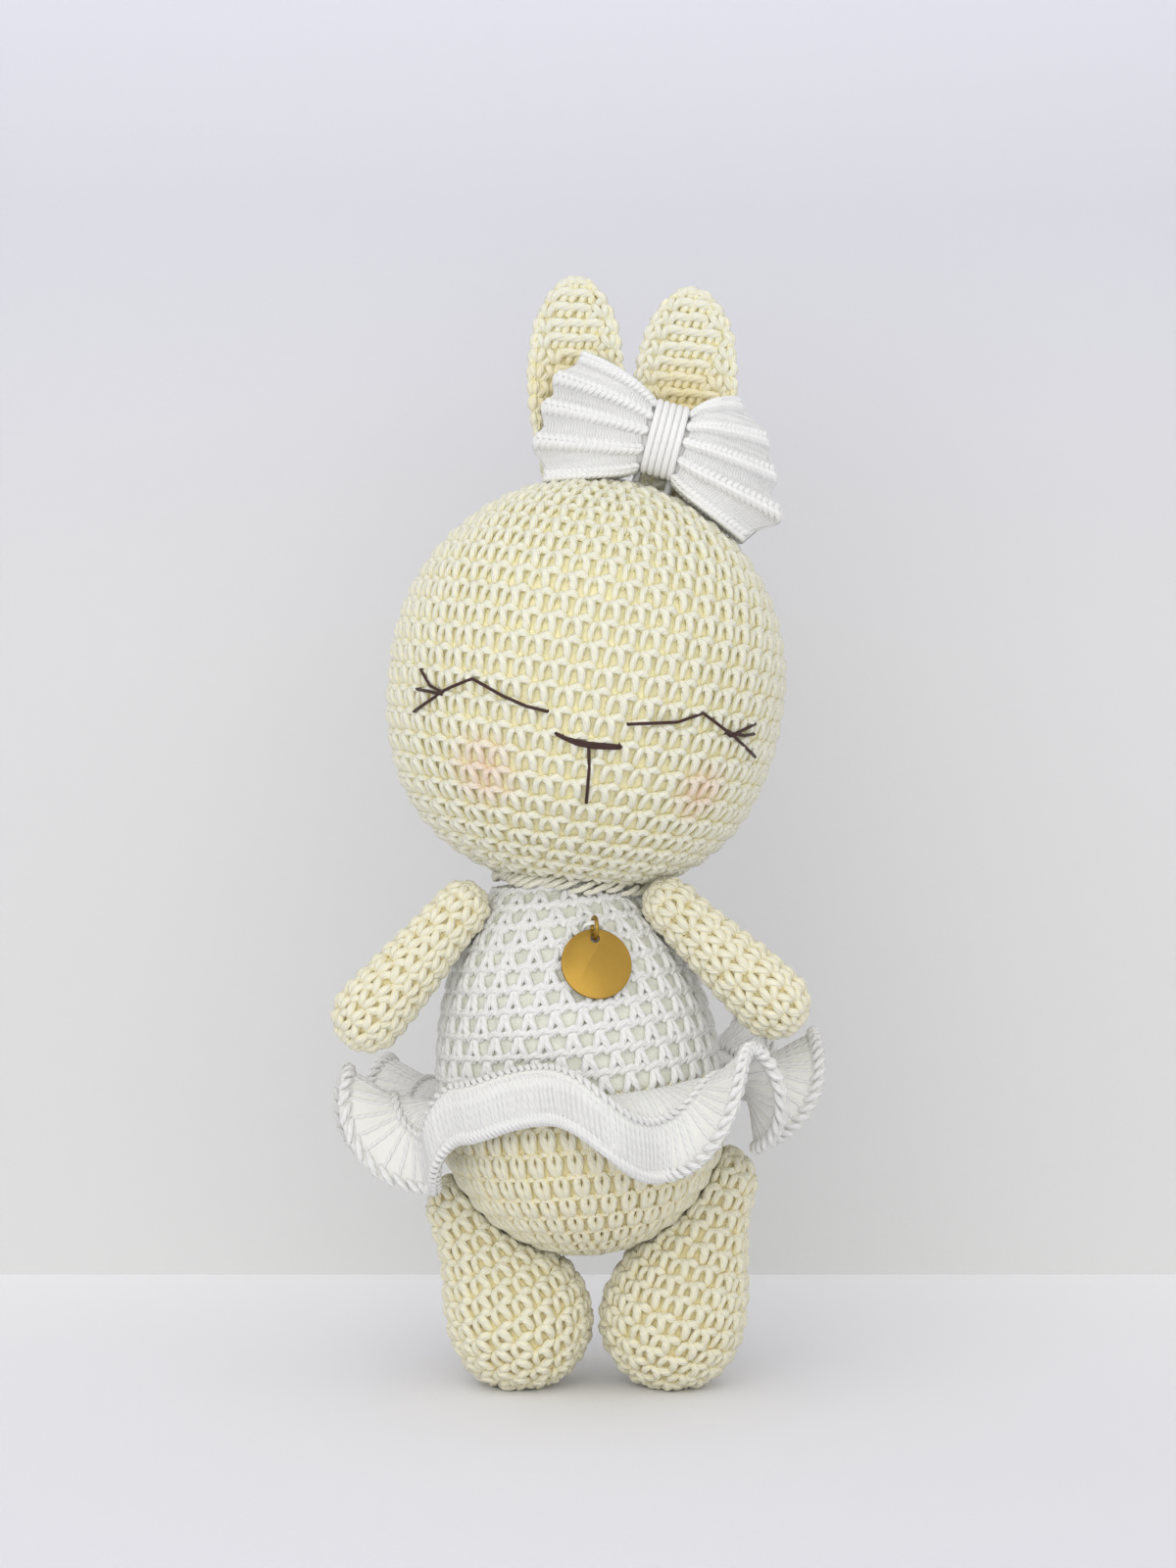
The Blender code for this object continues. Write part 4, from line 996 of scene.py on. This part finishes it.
BOW_REACHES = {
    "left": (22.7 * MM, (0.82, 0.98, 1.00, 1.00, 0.97, 0.82)),
    "right": (21.5 * MM, (0.86, 1.12, 1.02, 0.92, 0.80, 0.50)),
}


def bow_matrix():
    radius = settings()[1].head_radius
    top = radius * CROWN_SHARE * math.sqrt(1 - BOW_ACROSS**2 - BOW_FRONT**2) + BOW_LIFT
    place = Matrix.Translation((radius * BOW_ACROSS, -radius * BOW_FRONT, top))
    turn = Matrix.Rotation(math.radians(7.6), 4, "Y") @ Matrix.Rotation(math.radians(-4.0), 4, "X")
    return head_matrix() @ place @ turn


def bow_point(matrix, side, out, rise, face=0.0, lift=0.0):
    """A point of a lobe, out from the winding (0) to its end (1), rise from -1 to 1."""
    length, shares = BOW_REACHES[side]
    place = (rise + 1) / 2 * (len(shares) - 1)
    index = min(int(place), len(shares) - 2)
    reach = length * (shares[index] + (shares[index + 1] - shares[index]) * eased(place - index))
    reach *= 1 + 0.03 * math.cos(math.pi * 4 * rise)
    x = (-1 if side == "left" else 1) * (BOW_HALF_WRAP + (reach - BOW_HALF_WRAP) * out)
    flare = max(out, 0.0)**0.6
    z = rise * (BOW_PINCH + (BOW_HALF_HEIGHT - BOW_PINCH) * flare) * (1.0 if rise > 0 else 1.18)
    pinched = max(2.9 * MM * math.sqrt(max(1 - rise**2, 0.0)), 0.3 * MM)
    flat = 1.3 * MM * (1 - 0.6 * rise**6)
    depth = pinched + (flat - pinched) * min(out * 2, 1)
    rib = -1.0 * MM * math.cos(math.pi * 4 * rise) * flare
    bend = 3.0 * MM * out**2 - 1.8 * MM * math.sin(math.pi * out)
    return matrix @ Vector((x, bend + face * (depth - rib + lift), z))


def bow_braids(matrix):
    """Bumpy rows of short stitches along each ridge, on both faces of the bow."""
    threads = []
    for side, (length, _) in BOW_REACHES.items():
        count = round(length / (1.3 * MM))
        for face in (-1, 1):
            for rib in (-0.96, -0.5, 0.0, 0.5, 0.96):
                for index in range(count):
                    for way in (-1, 1):
                        strand = []
                        for across, rise, lift, thick in (
                                (-0.4, -0.01, -0.4, 0.9), (0.05, 0.025, 0.55, 1.15),
                                (0.5, 0.060, 0.50, 1.15), (0.95, 0.10, -0.4, 0.9)):
                            out = min(0.03 + 0.95 * (index + across) / count, 0.99)
                            level = min(max(rib + way * rise, -0.99), 0.99)
                            spot = bow_point(matrix, side, max(out, 0), level, face, lift * MM)
                            strand.append((spot, thick))
                        threads.append(strand)
            for rib in (-0.73, -0.25, 0.25, 0.75):
                for index in range(2 * count):
                    out = 0.04 + 0.92 * index / (2 * count)
                    threads.append([
                        (bow_point(matrix, side, out + slant, rib + rise, face, lift * MM), thick)
                        for slant, rise, lift, thick in (
                            (0.0, -0.20, -0.30, 0.60), (0.01, -0.07, -0.05, 0.62),
                            (0.02, 0.07, -0.05, 0.62), (0.03, 0.20, -0.30, 0.60))])
    return threads


class DOLL_OT_bow(bpy.types.Operator):
    """Works the ribbed bow and winds its middle"""

    bl_idname = "doll.bow"
    bl_label = "Bow"

    def execute(self, context):
        matrix = bow_matrix()
        rises = [-1 + step / 24 for step in range(49)]
        outs = [step / 8 for step in range(9)]
        columns = [("left", out) for out in reversed(outs)] + [("right", out) for out in outs]
        loops = []
        for side, out in columns:
            front = [bow_point(matrix, side, out, rise, -1, -0.35 * MM) for rise in rises]
            back = [bow_point(matrix, side, out, rise, 1, -0.35 * MM) for rise in reversed(rises)]
            loops.append(front + back)
        # Painted light: the bow's close cloth is a brighter copy of the frill's cloth
        fabric = mesh_piece(
            "bow_cloth", loft(loops), cloth_material("bow_close_cloth_painted_brighter", (0.86, 0.858, 0.83)), "head")
        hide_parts("bow_fabric")
        yarn = yarn_piece("bow_stitches", bow_braids(matrix), BOW_YARN, brightened_bow_material(), "head")
        wraps = []
        turns, per_turn = 5, 28
        for step in range(turns * per_turn + 1):
            turn = math.tau * step / per_turn
            x = WRAP_PITCH * (step / per_turn - turns / 2)
            wraps.append((matrix @ Vector((x, 3.9 * MM * math.cos(turn), 6.4 * MM * math.sin(turn))), 1.0))
        down = matrix.to_3x3() @ Vector((0, 0, -1))
        start, end = (
            [(spot + down * drop * MM, 1.0) for drop in drops]
            for spot, drops in ((wraps[0][0], (9, 4)), (wraps[-1][0], (4, 9))))
        path = [*start, *wraps, *end]
        winding = yarn_piece("bow_winding", [path], WRAP_YARN, brightened_bow_material(), "head", sides=3)
        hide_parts("bow_wrap")
        return {"FINISHED"}


# Places of the stitches of the face, as shares of the head's radius across and up
FACE_THREADS = {
    "eye_left": (
        ((-0.155, -0.221), (-0.255, -0.212), (-0.379, -0.179), (-0.532, -0.120),
         (-0.614, -0.164), (-0.690, -0.211)),
        ((-0.676, -0.200), (-0.737, -0.179), (-0.796, -0.108)),
        ((-0.672, -0.212), (-0.801, -0.203)),
        ((-0.664, -0.198), (-0.800, -0.311)),
    ),
    "eye_right": (
        ((0.226, -0.221), (0.456, -0.173), (0.572, -0.110), (0.740, -0.192)),
        ((0.722, -0.194), (0.838, -0.114)),
        ((0.716, -0.180), (0.790, -0.178), (0.842, -0.162)),
        ((0.712, -0.172), (0.868, -0.268)),
    ),
    "nose": (
        ((-0.101, -0.316), (-0.040, -0.332), (0.062, -0.337), (0.205, -0.327)),
        ((-0.094, -0.322), (-0.020, -0.342), (0.070, -0.346), (0.211, -0.331)),
        ((-0.070, -0.330), (0.000, -0.350), (0.085, -0.354), (0.206, -0.337)),
    ),
    "mouth": (((0.061, -0.352), (0.080, -0.455), (0.091, -0.614)),),
}


def face_point(across, rise, lift):
    """A point on the front of the head, from its place in the front view."""
    radius = settings()[1].head_radius
    x, z = across * radius, rise * radius
    if rise > 0:
        level = 1 - (z / (radius * CROWN_SHARE)) ** 2
    else:
        level = (1 - (-z / (radius * CHIN_SHARE)) ** CHIN_POWER) ** (2 / CHIN_POWER)
    y = -math.sqrt(max(level * radius**2 - x**2, 0.0))
    spot = Vector((x, y, z))
    return head_matrix() @ (spot + spot.normalized() * lift)


class DOLL_OT_face(bpy.types.Operator):
    """Embroiders the closed eyes, the nose and the mouth over the stitches"""

    bl_idname = "doll.face"
    bl_label = "Face"

    def execute(self, context):
        yarn = settings()[0]
        # The darker second colour is painted shade in the thread's ply grooves
        thread = yarn_material(
            "dark_thread_plied", tuple(yarn.thread), (0.02, 0.009, 0.007), plies=3.0, depth=0.05 * MM)
        for name, strands in FACE_THREADS.items():
            threads = []
            for strand in strands:
                spots = []
                for low, high in zip(strand, strand[1:]):
                    parts = max(1, round(math.dist(low, high) / 0.04))
                    for part in range(parts):
                        share = part / parts
                        spots.append([a + (b - a) * share for a, b in zip(low, high)])
                spots.append(strand[-1])
                threads.append([
                    (face_point(*spots[0], -0.9 * MM), 0.9),
                    *((face_point(*spot, 0.42 * MM), 1.0) for spot in spots),
                    (face_point(*spots[-1], -0.9 * MM), 0.9)])
            piece = yarn_piece(name, threads, yarn.thread_radius, thread, "head", sides=2)
            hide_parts(name + "_thread")
        return {"FINISHED"}


def seam_path(node, count):
    """Even places round a closed thread of the frame, starting at the front."""
    matrix = torso_matrix()
    back = matrix.inverted()
    spots = sorted(
        (math.atan2(p.x, -p.y) % math.tau, p.x, p.y, p.z)
        for p in (back @ vert.co for vert in frame["nodes"][node].data.vertices))
    turns = np.array([spot[0] for spot in spots])
    path = []
    for index in range(count):
        turn = math.tau * index / count
        gap = np.abs((turns - turn + math.pi) % math.tau - math.pi)
        near = np.array([spots[k][1:] for k in np.argsort(gap)[:12]])
        radius, height = np.hypot(near[:, 0], near[:, 1]).mean(), near[:, 2].mean()
        path.append((matrix @ Vector((math.sin(turn) * radius, -math.cos(turn) * radius, height)),
                     matrix.to_3x3() @ Vector((math.sin(turn), -math.cos(turn), 0)),
                     matrix.to_3x3() @ Vector((math.cos(turn), math.sin(turn), 0))))
    return path


class DOLL_OT_seams(bpy.types.Operator):
    """Whips the head to the neck and finishes the joint threads"""

    bl_idname = "doll.seams"
    bl_label = "Seams"

    def execute(self, context):
        # The darker second colour is painted shade in the thread's ply grooves
        thread = yarn_material("joint_thread_plied", (0.70, 0.68, 0.60), (0.6, 0.56, 0.45), plies=3.0)
        kept = dict.fromkeys(("arm_left_tie", "arm_right_tie", "leg_left_tie", "leg_right_tie"), thread)
        kept["charm_loop"] = white_material()
        for node, material in kept.items():
            mesh = frame["nodes"][node].data
            mesh.materials.clear()
            mesh.materials.append(material)
        threads = []
        for spot, outward, along in seam_path("neck_seam_yarn", 40):
            threads.append([
                (spot + outward * out * MM + along * side * MM + Vector((0, 0, rise * MM)), thick)
                for out, side, rise, thick in (
                    (-0.8, -2.3, -0.5, 0.8), (0.3, -1.1, -0.35, 1.0), (0.5, 0.2, 0.1, 1.05),
                    (0.2, 1.4, 0.45, 1.0), (-0.8, 2.4, 0.6, 0.8))])
        piece = yarn_piece("neck_seam", threads, 0.55 * MM, cream_material(), "torso")
        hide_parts("neck_seam_yarn")
        return {"FINISHED"}


def joint_line(joint):
    """A point on a joint's axis and the direction of the axis."""
    return Vector(JOINTS[joint]["pos_m"]), Vector(JOINTS[joint]["axis"]).normalized()


def box_middle(node):
    low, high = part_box(node)
    return (Vector(low) + Vector(high)) / 2


class DOLL_OT_charm(bpy.types.Operator):
    """Makes the jump ring and the blank disc"""

    bl_idname = "doll.charm"
    bl_label = "Charm"

    def execute(self, context):
        gold = gold_material()
        place, axis = joint_line("disc_swing")
        middle = box_middle("charm_disc")
        down = (middle - place) - axis * (middle - place).dot(axis)
        centre = place + down.normalized() * DISC_DROP
        side = down.cross(axis).normalized()
        matrix = Matrix((side, down.normalized(), axis)).transposed().to_4x4()
        matrix = Matrix.Translation(centre) @ matrix
        bm = bmesh.new()
        bmesh.ops.create_cone(
            bm, cap_ends=True, segments=96, radius1=DISC_RADIUS, radius2=DISC_RADIUS, depth=DISC_THICKNESS)
        rims = [edge for edge in bm.edges if {len(f.verts) for f in edge.link_faces} == {4, 96}]
        bmesh.ops.bevel(
            bm, geom=rims, offset=0.16 * MM, segments=3, profile=0.5, affect="EDGES", material=-1)
        disc = mesh_piece("disc", bm, gold, "charm_disc")
        drill_bm = bmesh.new()
        bmesh.ops.create_cone(
            drill_bm, cap_ends=True, segments=32, radius1=HOLE_RADIUS, radius2=HOLE_RADIUS, depth=3 * MM)
        bmesh.ops.translate(drill_bm, verts=drill_bm.verts, vec=(0, -DISC_DROP, 0))
        drill = mesh_piece("disc_drill", drill_bm, gold, "charm_disc", smooth=False)
        cutter = disc.modifiers.new("Hole", "BOOLEAN")
        cutter.operation = "DIFFERENCE"
        cutter.object = drill
        bpy.context.view_layer.update()
        cut = bpy.data.meshes.new_from_object(disc.evaluated_get(bpy.context.evaluated_depsgraph_get()))
        disc.modifiers.clear()
        disc.data = cut
        bpy.data.objects.remove(drill, do_unlink=True)
        disc.data.transform(matrix)
        disc.data.set_sharp_from_angle(angle=math.radians(35))
        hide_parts("charm_disc")
        across = joint_line("ring_swing")[1]
        middle = box_middle("jump_ring")
        forward = Vector((0, 0, 1)).cross(across).normalized()
        ring = []
        for step in range(61):
            turn = math.tau * (0.27 + 0.985 * step / 60)  # the ring's open ends stay just apart
            rise = Vector((0, 0, RING_RADIUS * math.sin(turn)))
            ring.append((middle + forward * RING_RADIUS * math.cos(turn) + rise, 1.0))
        wire = yarn_piece("ring_wire", [ring], WIRE_RADIUS, gold, "jump_ring", sides=4)
        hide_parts("jump_ring")
        return {"FINISHED"}


def paint(name, axis, stops):
    """Matt surface whose colour changes along an axis of the room, as painted light and shade."""
    material, tree, shader = new_material(name, stops[0][1], 0.9)
    place = tree.nodes.new("ShaderNodeTexCoord")
    apart = tree.nodes.new("ShaderNodeSeparateXYZ")
    tree.links.new(place.outputs["Object"], apart.inputs[0])
    low, high = stops[0][0], stops[-1][0]
    share = math_node(tree, "SUBTRACT", apart.outputs[axis], low)
    share = math_node(tree, "DIVIDE", share, high - low, clamp=True)
    ramp = tree.nodes.new("ShaderNodeValToRGB")
    for spot, (at, colour) in enumerate(stops):
        place_share = (at - low) / (high - low)
        element = ramp.color_ramp.elements[spot] if spot < 2 else ramp.color_ramp.elements.new(place_share)
        element.position = place_share
        element.color = (*colour, 1)
    tree.links.new(share, ramp.inputs[0])
    tree.links.new(ramp.outputs["Color"], shader.inputs["Base Color"])
    # Seen from behind it lets the camera through, so that the doll shows from every side
    behind = tree.nodes.new("ShaderNodeNewGeometry").outputs["Backfacing"]
    seen = tree.nodes.new("ShaderNodeLightPath").outputs["Is Camera Ray"]
    hidden = math_node(tree, "MULTIPLY", behind, seen)
    tree.links.new(math_node(tree, "SUBTRACT", 1.0, hidden), shader.inputs["Alpha"])
    grain = noise_node(tree, place.outputs["Object"], 900.0, 3.0)
    bump(tree, shader, grain, 0.05 * MM)
    return material


class DOLL_OT_stage(bpy.types.Operator):
    """Sets the floor, the wall, the light and the camera"""

    bl_idname = "doll.stage"
    bl_label = "Stage"

    def execute(self, context):
        stage = settings()[2]
        scene = context.scene
        wall = Matrix.Translation((0, stage.wall_reach, 2.0)) @ Matrix.Rotation(math.pi / 2, 4, "X")
        # Painted light: the wall is lighter and bluer towards the top, with a darker band below that
        wall_painted_light = paint("wall_painted_light", "Z", [
            (0.0, (0.72, 0.72, 0.715)), (0.14, (0.72, 0.72, 0.725)), (0.24, (0.685, 0.685, 0.74)),
            (0.32, (0.785, 0.785, 0.86))])
        # Painted shade: the floor is darker towards the camera and lighter towards the wall, against the main
        # lamp's pool of light on the near floor
        floor_painted_falloff = paint("floor_painted_falloff", "Y", [(-0.25, (0.665, 0.66, 0.70)), (0.10, (0.93, 0.925, 0.945))])
        for name, material, matrix in (
                ("floor", floor_painted_falloff, Matrix.Identity(4)), ("wall", wall_painted_light, wall)):
            bm = bmesh.new()
            bmesh.ops.create_grid(bm, x_segments=1, y_segments=1, size=2.0, matrix=matrix)
            mesh_piece(name, bm, material, None, smooth=False)
        world = bpy.data.worlds.new("studio")
        world.use_nodes = True
        world.node_tree.nodes["Background"].inputs["Color"].default_value = (1, 1, 1, 1)
        world.node_tree.nodes["Background"].inputs["Strength"].default_value = stage.sky
        scene.world = world
        for name, place, size, power, aim in (
                ("key", (-0.25, -0.55, 0.75), 0.7, stage.key, (0, 0, 0.10)),
                ("fill", (0.6, -0.5, 0.35), 0.8, stage.key * 0.40, (0, 0, 0.10)),
                ("low", (-0.05, -0.42, 0.06), 0.50, stage.key * 0.76, (0, 0, 0.05))):
            light = bpy.data.lights.new(name, "AREA")
            light.energy = power
            light.size = size
            lamp = bpy.data.objects.new(name, light)
            lamp.location = place
            lamp.rotation_euler = (Vector(aim) - Vector(place)).to_track_quat("-Z", "Y").to_euler()
            scene.collection.objects.link(lamp)
        camera = bpy.data.cameras.new("camera")
        camera.sensor_fit = "VERTICAL"
        camera.sensor_height = 24.0
        camera.lens = camera.sensor_height * stage.camera_reach / stage.frame_height
        view = bpy.data.objects.new("camera", camera)
        view.location = (1.8 * MM, -stage.camera_reach, stage.camera_height)
        view.rotation_euler = (math.pi / 2, 0, 0)
        scene.collection.objects.link(view)
        scene.camera = view
        scene.view_settings.view_transform = "Standard"
        return {"FINISHED"}


OPERATORS = (
    DOLL_OT_head, DOLL_OT_ears, DOLL_OT_bow, DOLL_OT_face, DOLL_OT_torso, DOLL_OT_frill,
    DOLL_OT_arms, DOLL_OT_legs, DOLL_OT_seams, DOLL_OT_charm, DOLL_OT_stage,
)


class DOLL_PT_panel(bpy.types.Panel):
    """Lists the doll's settings and pieces"""

    bl_idname = "DOLL_PT_panel"
    bl_label = "Crocheted doll"
    bl_space_type = "VIEW_3D"
    bl_region_type = "UI"
    bl_category = "Doll"

    def draw(self, context):
        for title in SETTINGS:
            group = getattr(context.scene, title)
            for name in group.bl_rna.properties.keys():
                if name not in ("rna_type", "name"):
                    self.layout.prop(group, name)
        for operator in OPERATORS:
            self.layout.operator(operator.bl_idname)


SETTINGS = {"doll_yarn": YarnSettings, "doll_body": BodySettings, "doll_stage": StageSettings}


def register():
    for cls in (*SETTINGS.values(), *OPERATORS, DOLL_PT_panel):
        bpy.utils.register_class(cls)
    for name, cls in SETTINGS.items():
        setattr(bpy.types.Scene, name, PointerProperty(type=cls))


def unregister():
    for name in SETTINGS:
        delattr(bpy.types.Scene, name)
    for cls in (DOLL_PT_panel, *reversed(OPERATORS), *SETTINGS.values()):
        bpy.utils.unregister_class(cls)


def main():
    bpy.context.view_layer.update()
    register()
    for operator in OPERATORS:
        category, name = operator.bl_idname.split(".")
        getattr(getattr(bpy.ops, category), name)()


if __name__ == "__main__":
    main()
